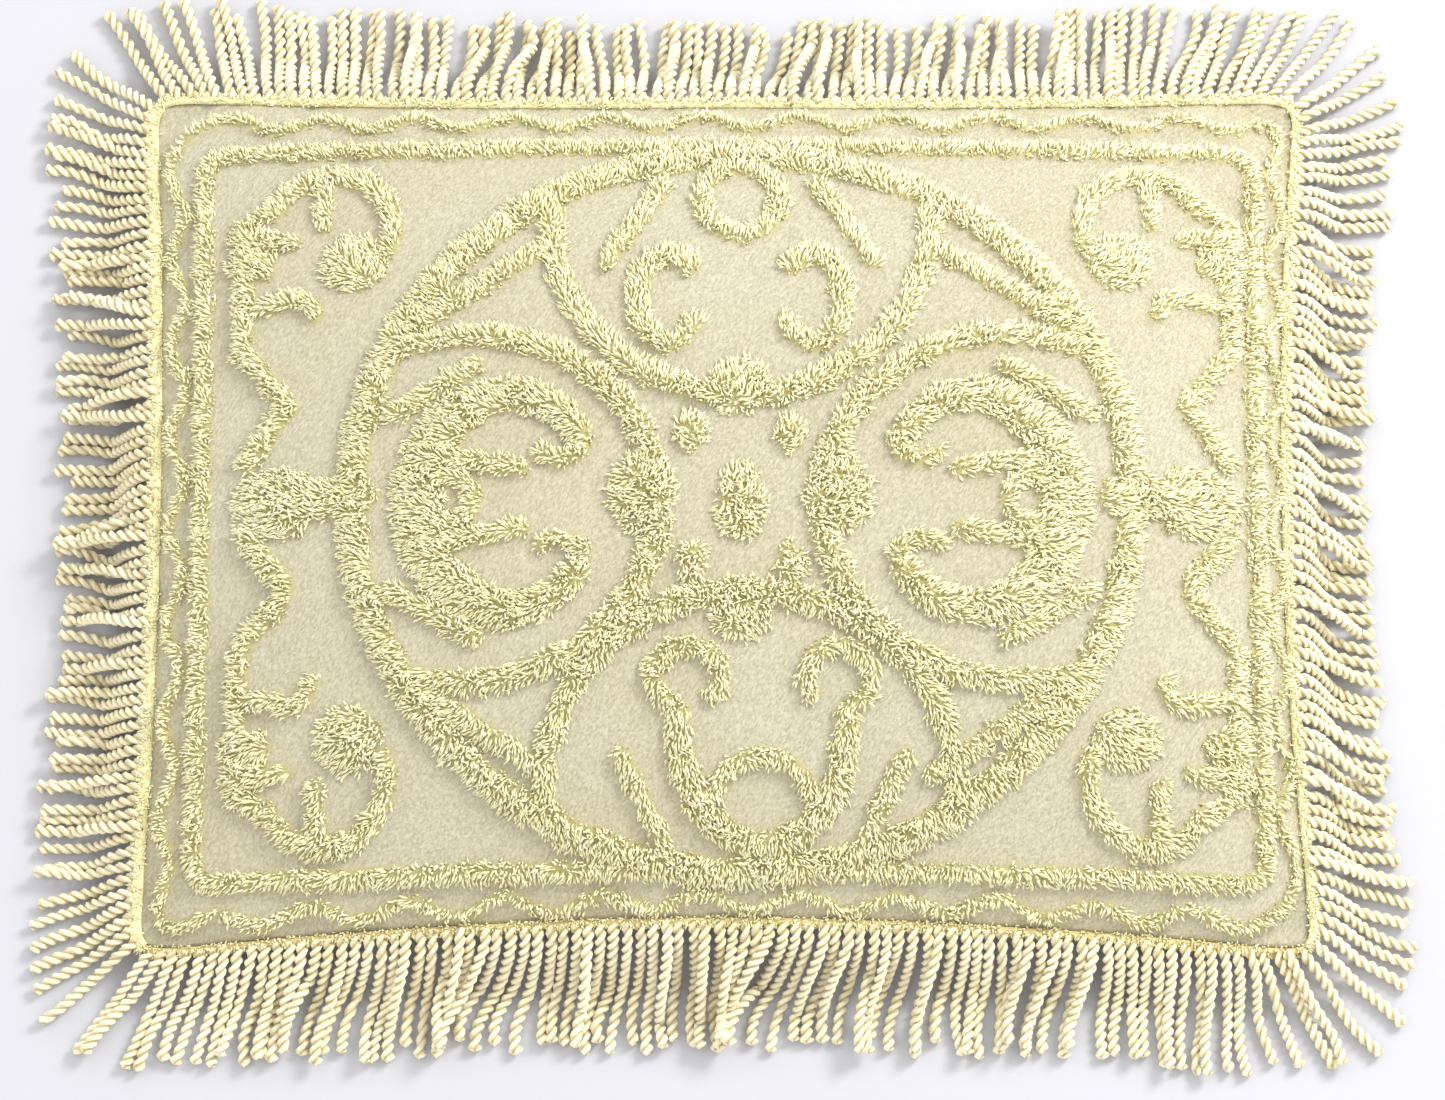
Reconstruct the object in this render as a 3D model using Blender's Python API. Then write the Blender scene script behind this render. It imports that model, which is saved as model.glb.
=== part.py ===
"""A filled chenille pillow sham with a twisted fringe on its four sides, lying on its back.

Units are metres, +Z is up, and -Y is the lower edge of the sham's face. The origin is the middle of
the flat face that it rests on.
"""

import math
from collections import namedtuple

import bmesh
import bpy
import numpy as np
from mathutils import Vector
from mathutils.geometry import delaunay_2d_cdt

# The filled cover: corner to corner, and how far the filling draws in the middle of its sides
HALF_WIDTH = 0.325
HALF_DEPTH = 0.249
DRAWN_IN_LEFT = 0.0100
DRAWN_IN_RIGHT = 0.0150
DRAWN_IN_ENDS = 0.0135
CORNER_SQUARENESS = 40.0

# The seam rises from the corners to the middle of each side, and the crown rises from the seam
SEAM_AT_CORNER = 0.014
SEAM_AT_MIDDLE = 0.042
SEAM_SHAPE = 1.5
CROWN = 0.044
FULLNESS_LEFT = 3.0
FULLNESS_RIGHT = 4.5
FULLNESS_ENDS = 3.0
SIDE_SOFTNESS = 1.15
END_SOFTNESS = 1.4

# Under the seam the cover curves in to a flat patch
UNDER_FULLNESS_SIDES = 6.0
UNDER_FULLNESS_ENDS = 5.0
UNDER_REACH = 1.35
UNDER_LOOPS = (0.96, 0.91, 0.86, 0.81, 0.75)
UNDER_LOOP_POINTS = 44

# Mesh: spacing of the points along the seam, along a tufted band and on the bare cloth
SEAM_STEP = 0.0135
CORNER_STEP = 0.0035
CORNER_ZONE = 0.026
BAND_STEP = 0.0135
BAND_STEP_PER_RADIUS = 0.48
CLOTH_STEP = 0.030
CLOTH_ROW_SHARE = 0.87
LEAST_SPACING = 0.0042
CLOTH_CLEARANCE = 0.013
SEAM_CLEARANCE = 0.0030
PANEL_LIMIT = 0.97
COVERED = 0.9
FEWEST_ARC_POINTS = 4
FEWEST_DASH_POINTS = 3
OUTLINE_SAMPLES = 2400
SETTLING_STEPS = 8
SAME_POINT = 1e-7
INSIDE_FACES = 1

# Tufted pattern, raised from the cloth
PILE = 0.0065
BORDER_WIDTH = 0.0118
WAVE_WIDTH = 0.0070
WAVE_HEIGHT = 0.0035
WAVE_COUNT = 40
WAVE_STEP = 0.0106
MEDALLION_MIDDLE = (0.0085, -0.0090)
FOOT_MIDDLE = (0.0205, -0.0090)
CORNERS_MIDDLE = (0.0065, -0.0025)

# A tufted border: the middle of its sides, how far its corners stand out past that, its shift
Border = namedtuple("Border", "half_width half_depth flare shift_x shift_y wave width step")
BORDERS = (
    Border(0.2915, 0.2085, 0.003, 0.0023, -0.0025, 0.0, BORDER_WIDTH, BAND_STEP),
    Border(0.3030, 0.2250, 0.008, 0.0005, -0.0020, WAVE_HEIGHT, WAVE_WIDTH, WAVE_STEP),
)

# Tufted arcs of the medallion and of the corners: centre, radii, angles in degrees, and the width of
# the band at its start, middle and end. "x", "y" and "xy" name the mirrored copies.
Arc = namedtuple("Arc", "x y radius_x radius_y start stop first middle last mirrored")
MEDALLION_ARCS = {
    "ring": Arc(0.0005, 0.0030, 0.2150, 0.2060, 0, 360, 0.017, 0.017, 0.017, ""),
    "side lobe": Arc(0.1500, -0.0030, 0.1050, 0.0990, 68, 292, 0.013, 0.015, 0.013, "x"),
    "head lobe": Arc(0.0000, 0.1635, 0.1050, 0.1040, 170, 370, 0.013, 0.015, 0.013, ""),
    "foot lobe": Arc(0.0050, -0.1575, 0.1120, 0.1040, 190, -10, 0.013, 0.015, 0.013, ""),
    "crescent": Arc(0.1280, -0.0010, 0.0500, 0.0610, -140, 140, 0.015, 0.032, 0.015, "x"),
    "crescent hook": Arc(0.1000, 0.0340, 0.0130, 0.0120, 130, 320, 0.011, 0.011, 0.009, "xy"),
    "side eye": Arc(0.1620, 0.0000, 0.0140, 0.0140, 0, 360, 0.011, 0.011, 0.011, "x"),
    "head eye": Arc(0.0000, 0.1795, 0.0215, 0.0215, 0, 360, 0.012, 0.012, 0.012, ""),
    "head scroll": Arc(0.0400, 0.1175, 0.0170, 0.0275, -150, 130, 0.011, 0.013, 0.015, "x"),
}
FOOT_ARCS = {
    "foot scroll": Arc(0.0415, -0.1005, 0.0180, 0.0165, 215, -55, 0.011, 0.012, 0.012, "x"),
    "foot stem": Arc(0.0000, -0.1260, 0.0460, 0.0630, 5, -86, 0.014, 0.017, 0.014, "x"),
    "foot arch": Arc(0.0000, -0.1690, 0.0270, 0.0250, 10, 170, 0.011, 0.011, 0.011, ""),
}
CORNER_ARCS = {
    "corner scroll": Arc(0.2265, 0.1570, 0.0345, 0.0370, 27, 195, 0.012, 0.013, 0.012, "xy"),
    "vine bend": Arc(0.2615, 0.0525, 0.0115, 0.0105, 240, 120, 0.012, 0.013, 0.012, "xy"),
    "vine hook": Arc(0.2480, 0.1040, 0.0140, 0.0130, 175, 60, 0.010, 0.012, 0.012, "xy"),
}

# Short straight tufted bands, from one end to the other, with their width at each end
Dash = namedtuple("Dash", "x y to_x to_y first last mirrored")
MEDALLION_DASHES = {
    "tongue": Dash(0.1680, 0.0250, 0.1210, 0.0170, 0.013, 0.010, "xy"),
    "lobe dash": Dash(0.1920, 0.0510, 0.1470, 0.0770, 0.012, 0.012, "xy"),
    "leaf": Dash(0.1050, 0.1520, 0.1820, 0.1030, 0.012, 0.014, "xy"),
    "head dash": Dash(0.0435, 0.1890, 0.0745, 0.1400, 0.012, 0.011, "x"),
}
FOOT_DASHES = {
    "foot dash": Dash(0.0770, -0.1440, 0.0540, -0.1880, 0.012, 0.010, "x"),
}
CORNER_DASHES = {
    "vine arm": Dash(0.2555, 0.0620, 0.2760, 0.0870, 0.012, 0.012, "xy"),
    "vine foot": Dash(0.2555, 0.0430, 0.2710, 0.0215, 0.012, 0.014, "xy"),
    "corner column": Dash(0.2750, 0.0890, 0.2750, 0.1640, 0.012, 0.013, "xy"),
    "hook arm": Dash(0.2555, 0.1150, 0.2755, 0.1110, 0.011, 0.011, "xy"),
    "corner spike": Dash(0.2750, 0.1550, 0.2475, 0.1530, 0.018, 0.009, "xy"),
    "corner stem": Dash(0.2725, 0.1640, 0.2580, 0.1770, 0.011, 0.011, "xy"),
    "corner stub": Dash(0.2305, 0.1900, 0.2315, 0.1620, 0.012, 0.010, "xy"),
    "side bar": Dash(0.2640, -0.0030, 0.2080, -0.0030, 0.030, 0.020, "x"),
}

# Filled tufted ovals
Oval = namedtuple("Oval", "x y radius_x radius_y mirrored")
MEDALLION_OVALS = {
    "middle dot": Oval(0.0000, -0.0030, 0.0140, 0.0220, ""),
    "small dot": Oval(0.0270, 0.0370, 0.0090, 0.0120, "xy"),
    "end boss": Oval(0.0000, 0.0650, 0.0180, 0.0160, "y"),
    "side boss": Oval(0.0540, 0.0030, 0.0190, 0.0240, "x"),
}
CORNER_OVALS = {
    "corner ball": Oval(0.2130, 0.1370, 0.0190, 0.0180, "xy"),
    "side star": Oval(0.2535, -0.0040, 0.0265, 0.0210, "x"),
    "corner mass": Oval(0.2700, 0.1390, 0.0150, 0.0110, "xy"),
}
OVAL_POINTS = 10

# Fringe: a triangular heading just outside the seam, and the strands that hang from it. A side has
# the angle that it faces, its count of strands and how far their ends reach past the seam.
Side = namedtuple("Side", "middle strands reach")
SIDES = {
    "front": Side(270, 80, 0.063),
    "right": Side(0, 62, 0.0505),
    "back": Side(90, 80, 0.062),
    "left": Side(180, 62, 0.056),
}
HALF_SIDE = 45.0
CLEARANCE = 0.0004
HEADING_WIDTH = 0.0055
HEADING_HEIGHT = 0.0050
MITRE = 0.0006
STRAND_WIDTH = 0.0044
STRAND_HEIGHT = 0.0040
REACH_CORNER = 0.068
REACH_SHAPE = 3.0
REACH_UNEVEN = 0.0045
FAN_ANGLE = 42.0
FAN_SHAPE = 7.0
LEAN = 0.0040
LEAN_PERIODS = (9.0, 23.0)
TIP_TAPER = 0.85
SEED = 11

# How a strand falls: each point's share of the reach, and of the height of its root
Fall = namedtuple("Fall", "along height")
STRAND_FALL = (Fall(0.0, 1.0), Fall(0.20, 0.84), Fall(0.44, 0.40), Fall(0.64, 0.0), Fall(1.0, 0.0))

Finish = namedtuple("Finish", "colour roughness")
SHAM_COTTON = Finish((0.86, 0.82, 0.62, 1.0), 0.90)
FRINGE_COTTON = Finish((0.84, 0.78, 0.60, 1.0), 0.85)
MIRRORS = {
    "": ((1, 1),),
    "x": ((1, 1), (-1, 1)),
    "y": ((1, 1), (1, -1)),
    "xy": ((1, 1), (-1, 1), (1, -1), (-1, -1)),
}
Band = namedtuple("Band", "centre half_widths")
Disc = namedtuple("Disc", "centre radii")


def half_sizes(u, v):
    """Half width and half depth of the panel, less where the filling draws its sides in."""
    drawn_in = np.where(u > 0, DRAWN_IN_RIGHT, DRAWN_IN_LEFT)
    return HALF_WIDTH - drawn_in * (1 - v**2), HALF_DEPTH - DRAWN_IN_ENDS * (1 - u**2)


def plan_from_panel(u, v):
    """Plan place of the panel coordinates, which run from -1 to 1 between the seams."""
    half_width, half_depth = half_sizes(u, v)
    return np.column_stack((u * half_width, v * half_depth))


def panel_from_plan(points):
    """Panel coordinates of plan places, found by repeating the division until it settles."""
    u, v = points[:, 0] / HALF_WIDTH, points[:, 1] / HALF_DEPTH
    for _ in range(SETTLING_STEPS):
        half_width, half_depth = half_sizes(u, v)
        u, v = points[:, 0] / half_width, points[:, 1] / half_depth
    return np.clip(u, -1, 1), np.clip(v, -1, 1)


def seam_height(points):
    """Height of the seam, carried in over the panel."""
    u, v = panel_from_plan(points)
    return SEAM_AT_CORNER + (SEAM_AT_MIDDLE - SEAM_AT_CORNER) * (1 - np.abs(u * v) ** SEAM_SHAPE)


def cloth_height(points):
    """Height of the crowned upper cloth."""
    u, v = panel_from_plan(points)
    fullness = np.where(u > 0, FULLNESS_RIGHT, FULLNESS_LEFT)
    sides = (1 - np.abs(u) ** fullness) ** SIDE_SOFTNESS
    ends = (1 - np.abs(v) ** FULLNESS_ENDS) ** END_SOFTNESS
    return seam_height(points) + CROWN * sides * ends


def under_height(points):
    """Height of the lower cloth, which is flat at zero where it rests."""
    u, v = panel_from_plan(points)
    full = (1 - np.abs(u) ** UNDER_FULLNESS_SIDES) * (1 - np.abs(v) ** UNDER_FULLNESS_ENDS)
    return seam_height(points) * np.maximum(0.0, 1 - UNDER_REACH * full)


def panel_edge(start, stop):
    """Dense panel coordinates along the seam between two angles in degrees, with rounded corners."""
    angle = np.radians(np.linspace(start, stop, OUTLINE_SAMPLES))
    across, along = np.cos(angle), np.sin(angle)
    power = CORNER_SQUARENESS
    reach = (np.abs(across) ** power + np.abs(along) ** power) ** (-1 / power)
    return across * reach, along * reach


def outline(start, stop):
    """Dense plan points along the seam between two angles in degrees."""
    return plan_from_panel(*panel_edge(start, stop))


def lengths(points):
    """Distance along a row of points to each of them."""
    steps = np.linalg.norm(np.diff(points, axis=0), axis=1)
    return np.concatenate(([0.0], np.cumsum(steps)))


def read_path(points, places):
    """Points at the given distances along a row of points."""
    run = lengths(points)
    return np.column_stack([np.interp(places, run, points[:, axis]) for axis in range(points.shape[1])])


def path_normals(points):
    """Unit normals to the right of a row of plan points."""
    tangent = np.gradient(points, axis=0)
    tangent /= np.linalg.norm(tangent, axis=1)[:, None]
    return np.column_stack((tangent[:, 1], -tangent[:, 0]))


def seam_stations(length):
    """Distances along one side of the seam, closer together at its two rounded ends."""
    ends = np.arange(0.0, CORNER_ZONE, CORNER_STEP)
    count = round((length - 2 * CORNER_ZONE) / SEAM_STEP)
    middle = np.linspace(CORNER_ZONE, length - CORNER_ZONE, count + 1)
    return np.concatenate((ends, middle, length - ends[::-1]))


def seam_loop():
    """Plan points of the whole seam, counter-clockwise from one corner."""
    loop = []
    for side in sorted(SIDES.values(), key=lambda side: side.middle):
        path = outline(side.middle - HALF_SIDE, side.middle + HALF_SIDE)
        loop.extend(read_path(path, seam_stations(lengths(path)[-1])[:-1]))
    return np.array(loop)


def border_band(border):
    """A border that follows the seam, with its wave if it has one."""
    u, v = panel_edge(0, 360)
    x = u * (border.half_width + border.flare * v**2)
    y = v * (border.half_depth + border.flare * u**2)
    dense = np.column_stack((x + border.shift_x, y + border.shift_y))
    length = lengths(dense)[-1]
    places = np.linspace(0, length, round(length / border.step) + 1)
    centre = read_path(dense, places)
    wave = border.wave * np.sin(2 * math.pi * WAVE_COUNT * places / length)
    centre += path_normals(centre) * wave[:, None]
    return Band(centre, np.full(len(centre), border.width / 2))


def arc_bands(arcs, middle):
    """Every mirrored copy of the arcs in a table."""
    for arc in arcs.values():
        turn = math.radians(abs(arc.stop - arc.start))
        radius = (arc.radius_x + arc.radius_y) / 2
        step = min(BAND_STEP, BAND_STEP_PER_RADIUS * radius)
        share = np.linspace(0, 1, max(FEWEST_ARC_POINTS, round(turn * radius / step) + 1))
        angle = np.radians(arc.start + (arc.stop - arc.start) * share)
        x = arc.x + arc.radius_x * np.cos(angle)
        y = arc.y + arc.radius_y * np.sin(angle)
        widths = np.interp(share, (0, 0.5, 1), (arc.first, arc.middle, arc.last))
        for flip_x, flip_y in MIRRORS[arc.mirrored]:
            yield Band(np.column_stack((flip_x * x, flip_y * y)) + middle, widths / 2)


def dash_bands(dashes, middle):
    """Every mirrored copy of the dashes in a table."""
    for dash in dashes.values():
        length = math.hypot(dash.to_x - dash.x, dash.to_y - dash.y)
        share = np.linspace(0, 1, max(FEWEST_DASH_POINTS, round(length / BAND_STEP) + 1))
        x, y = dash.x + (dash.to_x - dash.x) * share, dash.y + (dash.to_y - dash.y) * share
        widths = dash.first + (dash.last - dash.first) * share
        for flip_x, flip_y in MIRRORS[dash.mirrored]:
            yield Band(np.column_stack((flip_x * x, flip_y * y)) + middle, widths / 2)


def discs(ovals, middle):
    """Every mirrored copy of the ovals in a table."""
    for oval in ovals.values():
        for flip_x, flip_y in MIRRORS[oval.mirrored]:
            centre = np.array((flip_x * oval.x, flip_y * oval.y)) + middle
            yield Disc(centre, np.array((oval.radius_x, oval.radius_y)))


def tufted_pattern():
    """All tufted bands and filled ovals of the face."""
    bands = [border_band(border) for border in BORDERS]
    bands += arc_bands(MEDALLION_ARCS, MEDALLION_MIDDLE)
    bands += arc_bands(FOOT_ARCS, FOOT_MIDDLE)
    bands += arc_bands(CORNER_ARCS, CORNERS_MIDDLE)
    bands += dash_bands(MEDALLION_DASHES, MEDALLION_MIDDLE)
    bands += dash_bands(FOOT_DASHES, FOOT_MIDDLE)
    bands += dash_bands(CORNER_DASHES, CORNERS_MIDDLE)
    return bands, [*discs(MEDALLION_OVALS, MEDALLION_MIDDLE), *discs(CORNER_OVALS, CORNERS_MIDDLE)]


def share_across_band(points, band):
    """How far each point is from a band's centre line, as a share of its half width there."""
    start, run = band.centre[:-1], np.diff(band.centre, axis=0)
    offset = points[:, None, :] - start[None, :, :]
    along = np.clip((offset * run).sum(axis=2) / (run**2).sum(axis=1), 0, 1)
    distance = np.linalg.norm(offset - along[..., None] * run, axis=2)
    half_width = band.half_widths[:-1] + along * np.diff(band.half_widths)
    return (distance / half_width).min(axis=1)


def share_across_disc(points, disc):
    """How far each point is from an oval's middle, as a share of its radius that way."""
    return np.linalg.norm((points - disc.centre) / disc.radii, axis=1)


def pile_height(points, bands, ovals):
    """Height of the pile over the cloth, full at the middle of a band and none at its edge."""
    shares = [share_across_band(points, band) for band in bands]
    shares += [share_across_disc(points, oval) for oval in ovals]
    return PILE * np.maximum(0.0, 1 - np.min(shares, axis=0) ** 2)


def pattern_points(bands, ovals):
    """Points for the face's mesh: the middles of the bands and ovals, and then their edges."""
    middles = [band.centre for band in bands] + [oval.centre[None, :] for oval in ovals]
    edges = []
    for number, band in enumerate(bands):
        side = path_normals(band.centre) * band.half_widths[:, None]
        edges.append((number, np.concatenate((band.centre + side, band.centre - side))))
    turn = np.linspace(0, 2 * math.pi, OVAL_POINTS, endpoint=False)
    circle = np.column_stack((np.cos(turn), np.sin(turn)))
    for number, oval in enumerate(ovals):
        edges.append((len(bands) + number, oval.centre + circle * oval.radii))
    measures = [lambda points, band=band: share_across_band(points, band) for band in bands]
    measures += [lambda points, oval=oval: share_across_disc(points, oval) for oval in ovals]
    for number, points in edges:
        inside = np.zeros(len(points), bool)
        for other, measure in enumerate(measures):
            if other != number:
                inside |= measure(points) < COVERED
        middles.append(points[~inside])
    return np.concatenate(middles)


def cloth_points():
    """A plain staggered grid over the bare cloth."""
    rows = np.arange(-HALF_DEPTH, HALF_DEPTH, CLOTH_STEP * CLOTH_ROW_SHARE)
    columns = np.arange(-HALF_WIDTH, HALF_WIDTH, CLOTH_STEP)
    grid = [(x + CLOTH_STEP / 2 * (row % 2), y) for row, y in enumerate(rows) for x in columns]
    return np.array(grid)


def inside_seam(points, loop):
    """Which points lie inside the seam and clear of it."""
    u, v = panel_from_plan(points)
    power = CORNER_SQUARENESS
    inside = np.abs(u) ** power + np.abs(v) ** power < PANEL_LIMIT
    nearest = np.linalg.norm(points[:, None, :] - loop[None, :, :], axis=2).min(axis=1)
    return inside & (nearest > SEAM_CLEARANCE)


def thinned(points, kept, spacing):
    """Adds each point that is far enough from all those already kept."""
    for point in points:
        if np.linalg.norm(np.array(kept) - point, axis=1).min() > spacing:
            kept.append(point)
    return kept


def triangles_in_loop(points, loop_count):
    """Triangles between plan points, inside the loop that the first of them make."""
    flat = [Vector(point) for point in points]
    result = delaunay_2d_cdt(flat, [], [list(range(loop_count))], INSIDE_FACES, SAME_POINT)
    places, faces, sources = result[0], result[2], result[3]
    if len(places) != len(points):
        raise ValueError("the plan points of a face meet or cross")
    return [[sources[corner][0] for corner in face] for face in faces]


def new_object(name, points, faces, material):
    """A mesh object of one closed body, with its faces turned outwards."""
    mesh = bpy.data.meshes.new(name)
    mesh.from_pydata([tuple(map(float, point)) for point in points], [], faces)
    shape = bmesh.new()
    shape.from_mesh(mesh)
    bmesh.ops.recalc_face_normals(shape, faces=shape.faces)
    shape.to_mesh(mesh)
    shape.free()
    mesh.materials.append(material)
    obj = bpy.data.objects.new(name, mesh)
    bpy.context.scene.collection.objects.link(obj)
    return obj


def cotton_material(name, finish):
    """A plain matt cotton."""
    material = bpy.data.materials.new(name)
    material.use_nodes = True
    shader = material.node_tree.nodes["Principled BSDF"]
    shader.inputs["Base Color"].default_value = finish.colour
    shader.inputs["Roughness"].default_value = finish.roughness
    shader.inputs["Metallic"].default_value = 0.0
    return material


def make_cushion():
    """The tufted front and the plain back, sewn and filled: one solid."""
    loop = seam_loop()
    bands, ovals = tufted_pattern()
    pattern = pattern_points(bands, ovals)
    kept = thinned(pattern[inside_seam(pattern, loop)], list(loop), LEAST_SPACING)
    ground = cloth_points()
    kept = thinned(ground[inside_seam(ground, loop)], kept, CLOTH_CLEARANCE)
    face = np.array(kept)
    face_height = cloth_height(face) + pile_height(face, bands, ovals)
    face_height[: len(loop)] = seam_height(loop)

    turn = np.linspace(0, len(loop), UNDER_LOOP_POINTS, endpoint=False).astype(int)
    under = np.concatenate([loop] + [loop[turn] * size for size in UNDER_LOOPS])
    under_heights = under_height(under)

    points = [(*place, height) for place, height in zip(face, face_height)]
    points += [(*place, height) for place, height in zip(under, under_heights)][len(loop) :]
    faces = triangles_in_loop(face, len(loop))
    past_loop = len(face) - len(loop)
    for triangle in triangles_in_loop(under, len(loop)):
        shared = [corner if corner < len(loop) else corner + past_loop for corner in triangle]
        faces.append(shared[::-1])
    return new_object("cushion", points, faces, cotton_material("sham cotton", SHAM_COTTON))


def strip_faces(edge, other_edge):
    """Triangles between two rows of (distance along, point number), taken in order."""
    faces, near, far = [], 0, 0
    while near < len(edge) - 1 or far < len(other_edge) - 1:
        near_next = edge[near + 1][0] if near < len(edge) - 1 else math.inf
        far_next = other_edge[far + 1][0] if far < len(other_edge) - 1 else math.inf
        if near_next <= far_next:
            faces.append((edge[near][1], edge[near + 1][1], other_edge[far][1]))
            near += 1
        else:
            faces.append((edge[near][1], other_edge[far + 1][1], other_edge[far][1]))
            far += 1
    return faces


class SeamSide:
    """One side of the seam, with the two paths beside it that the fringe's heading follows."""

    def __init__(self, side):
        self.seam = outline(side.middle - HALF_SIDE, side.middle + HALF_SIDE)
        outward = path_normals(self.seam)
        self.inner = self.seam + outward * CLEARANCE
        self.outer = self.seam + outward * (CLEARANCE + HEADING_WIDTH)
        self.run = lengths(self.seam)

    def point(self, path, place, lift):
        """A point of one of the paths at a distance along the seam, lifted from the seam's height."""
        at_seam, beside = (
            [np.interp(place, self.run, row[:, axis]) for axis in (0, 1)] for row in (self.seam, path)
        )
        return (*beside, float(seam_height(np.array([at_seam]))[0]) + lift)


def strand_directions(side, along):
    """Unit plan directions of a strand's length and width, fanned out towards the corners."""
    fan = FAN_ANGLE * math.copysign(abs(along) ** FAN_SHAPE, along)
    heading = math.radians(side.middle + fan)
    ahead = np.array((math.cos(heading), math.sin(heading)))
    return ahead, np.array((-ahead[1], ahead[0]))


def add_strand(points, root, ahead, aside, reach, lean):
    """Adds one three-sided strand from its root triangle to its tip, and returns its faces."""
    start = (np.array(points[root[0]]) + np.array(points[root[1]])) / 2
    section, faces = root, []
    for fall in STRAND_FALL[1:]:
        centre = start[:2] + ahead * reach * fall.along + aside * lean * fall.along**2
        size = 1 - (1 - TIP_TAPER) * fall.along
        half = aside * STRAND_WIDTH / 2 * size
        ground = start[2] * fall.height
        points.append((*(centre - half), ground))
        points.append((*(centre + half), ground))
        points.append((*centre, ground + STRAND_HEIGHT * size))
        new = tuple(range(len(points) - 3, len(points)))
        for corner, follow in ((0, 1), (1, 2), (2, 0)):
            faces.append((section[corner], section[follow], new[follow]))
            faces.append((section[corner], new[follow], new[corner]))
        section = new
    return [*faces, section]


def make_fringe(name, side, seed):
    """One length of fringe: a heading along the seam and its row of separate strands."""
    rng = np.random.default_rng(seed)
    beside = SeamSide(side)
    first, last = MITRE, beside.run[-1] - MITRE
    points, faces, inner, lower, upper = [], [], [], [], []

    def extend(row, path, place, lift):
        """Adds a point to one of the heading's three edges."""
        points.append(beside.point(path, place, lift))
        row.append((place, len(points) - 1))
        return len(points) - 1

    def end_heading(place):
        """Adds the two outer points of an end of the heading."""
        foot = extend(lower, beside.outer, place, -HEADING_HEIGHT / 2)
        return foot, extend(upper, beside.outer, place, HEADING_HEIGHT / 2)

    for place in np.clip(seam_stations(beside.run[-1]), first, last):
        extend(inner, beside.inner, place, 0.0)
    before_foot, before_top = end_heading(first)
    faces.append((inner[0][1], before_foot, before_top))
    pitch = (last - first) / side.strands
    phases = rng.uniform(0, 2 * math.pi, len(LEAN_PERIODS))
    uneven = rng.uniform(-1, 1, side.strands)
    for number in range(side.strands):
        place = first + pitch * (number + 0.5)
        foot = extend(lower, beside.outer, place - STRAND_WIDTH / 2, -HEADING_HEIGHT / 2)
        next_foot = extend(lower, beside.outer, place + STRAND_WIDTH / 2, -HEADING_HEIGHT / 2)
        top = extend(upper, beside.outer, place, HEADING_HEIGHT / 2)
        faces += [(before_foot, foot, top), (before_foot, top, before_top)]
        before_foot, before_top = next_foot, top

        along = 2 * (place - first) / (last - first) - 1
        reach = side.reach + (REACH_CORNER - side.reach) * abs(along) ** REACH_SHAPE
        reach += REACH_UNEVEN * uneven[number] - HEADING_WIDTH
        sway = [math.sin(2 * math.pi * number / p + phase) for p, phase in zip(LEAN_PERIODS, phases)]
        ahead, aside = strand_directions(side, along)
        faces += add_strand(points, (foot, next_foot, top), ahead, aside, reach, LEAN * np.mean(sway))
    end_foot, end_top = end_heading(last)
    faces += [(before_foot, end_foot, end_top), (before_foot, end_top, before_top)]
    faces += strip_faces(inner, lower)
    faces += strip_faces(upper, inner)
    faces.append((inner[-1][1], end_top, end_foot))
    return new_object(name, points, faces, cotton_material(name + " cotton", FRINGE_COTTON))


def main():
    for obj in list(bpy.data.objects):
        bpy.data.objects.remove(obj, do_unlink=True)
    make_cushion()
    for number, (name, side) in enumerate(SIDES.items()):
        make_fringe("fringe_" + name, side, SEED + number)


main()
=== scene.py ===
"""Looks of a filled chenille pillow sham with a twisted fringe on its four sides, lying on its back.

Everything is in metres. +X runs along the longer side, +Y towards the upper edge of the tufted face,
and the sham rests on z = 0.
"""

import math
from collections import namedtuple

import bpy
import numpy as np
from bpy.props import FloatProperty, FloatVectorProperty, IntProperty, PointerProperty
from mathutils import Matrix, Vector
from mathutils.bvhtree import BVHTree


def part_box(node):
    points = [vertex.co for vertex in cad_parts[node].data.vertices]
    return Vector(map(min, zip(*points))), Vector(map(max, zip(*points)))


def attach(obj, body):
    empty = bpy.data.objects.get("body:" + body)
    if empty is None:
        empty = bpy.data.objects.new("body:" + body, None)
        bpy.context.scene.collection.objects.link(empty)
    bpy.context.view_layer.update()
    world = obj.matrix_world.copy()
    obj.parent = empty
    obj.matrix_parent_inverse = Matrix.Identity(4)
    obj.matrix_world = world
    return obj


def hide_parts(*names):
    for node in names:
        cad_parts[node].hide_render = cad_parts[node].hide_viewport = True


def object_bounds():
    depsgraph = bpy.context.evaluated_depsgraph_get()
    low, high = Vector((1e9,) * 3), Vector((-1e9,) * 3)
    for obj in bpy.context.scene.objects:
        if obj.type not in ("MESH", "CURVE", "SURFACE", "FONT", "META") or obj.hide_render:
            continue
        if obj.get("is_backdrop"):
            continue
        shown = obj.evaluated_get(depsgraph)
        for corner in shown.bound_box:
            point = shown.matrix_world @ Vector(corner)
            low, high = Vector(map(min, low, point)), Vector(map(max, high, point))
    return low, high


bl_info = {
    "name": "Chenille Pillow Sham",
    "version": (1, 0, 0),
    "blender": (4, 5, 0),
    "location": "3D View > Sidebar > Sham",
    "description": "Makes a filled chenille pillow sham with its tufts and twisted fringe, on a pale floor",
    "category": "Object",
}

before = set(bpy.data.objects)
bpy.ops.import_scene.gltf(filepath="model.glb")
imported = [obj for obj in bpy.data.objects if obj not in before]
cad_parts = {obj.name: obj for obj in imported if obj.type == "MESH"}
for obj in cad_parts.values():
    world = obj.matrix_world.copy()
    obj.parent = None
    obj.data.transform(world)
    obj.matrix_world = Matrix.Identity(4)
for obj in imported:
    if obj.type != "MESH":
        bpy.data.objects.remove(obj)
SOLID_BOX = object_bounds()
CUSHION_LOW, CUSHION_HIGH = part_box("cushion")

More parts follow.
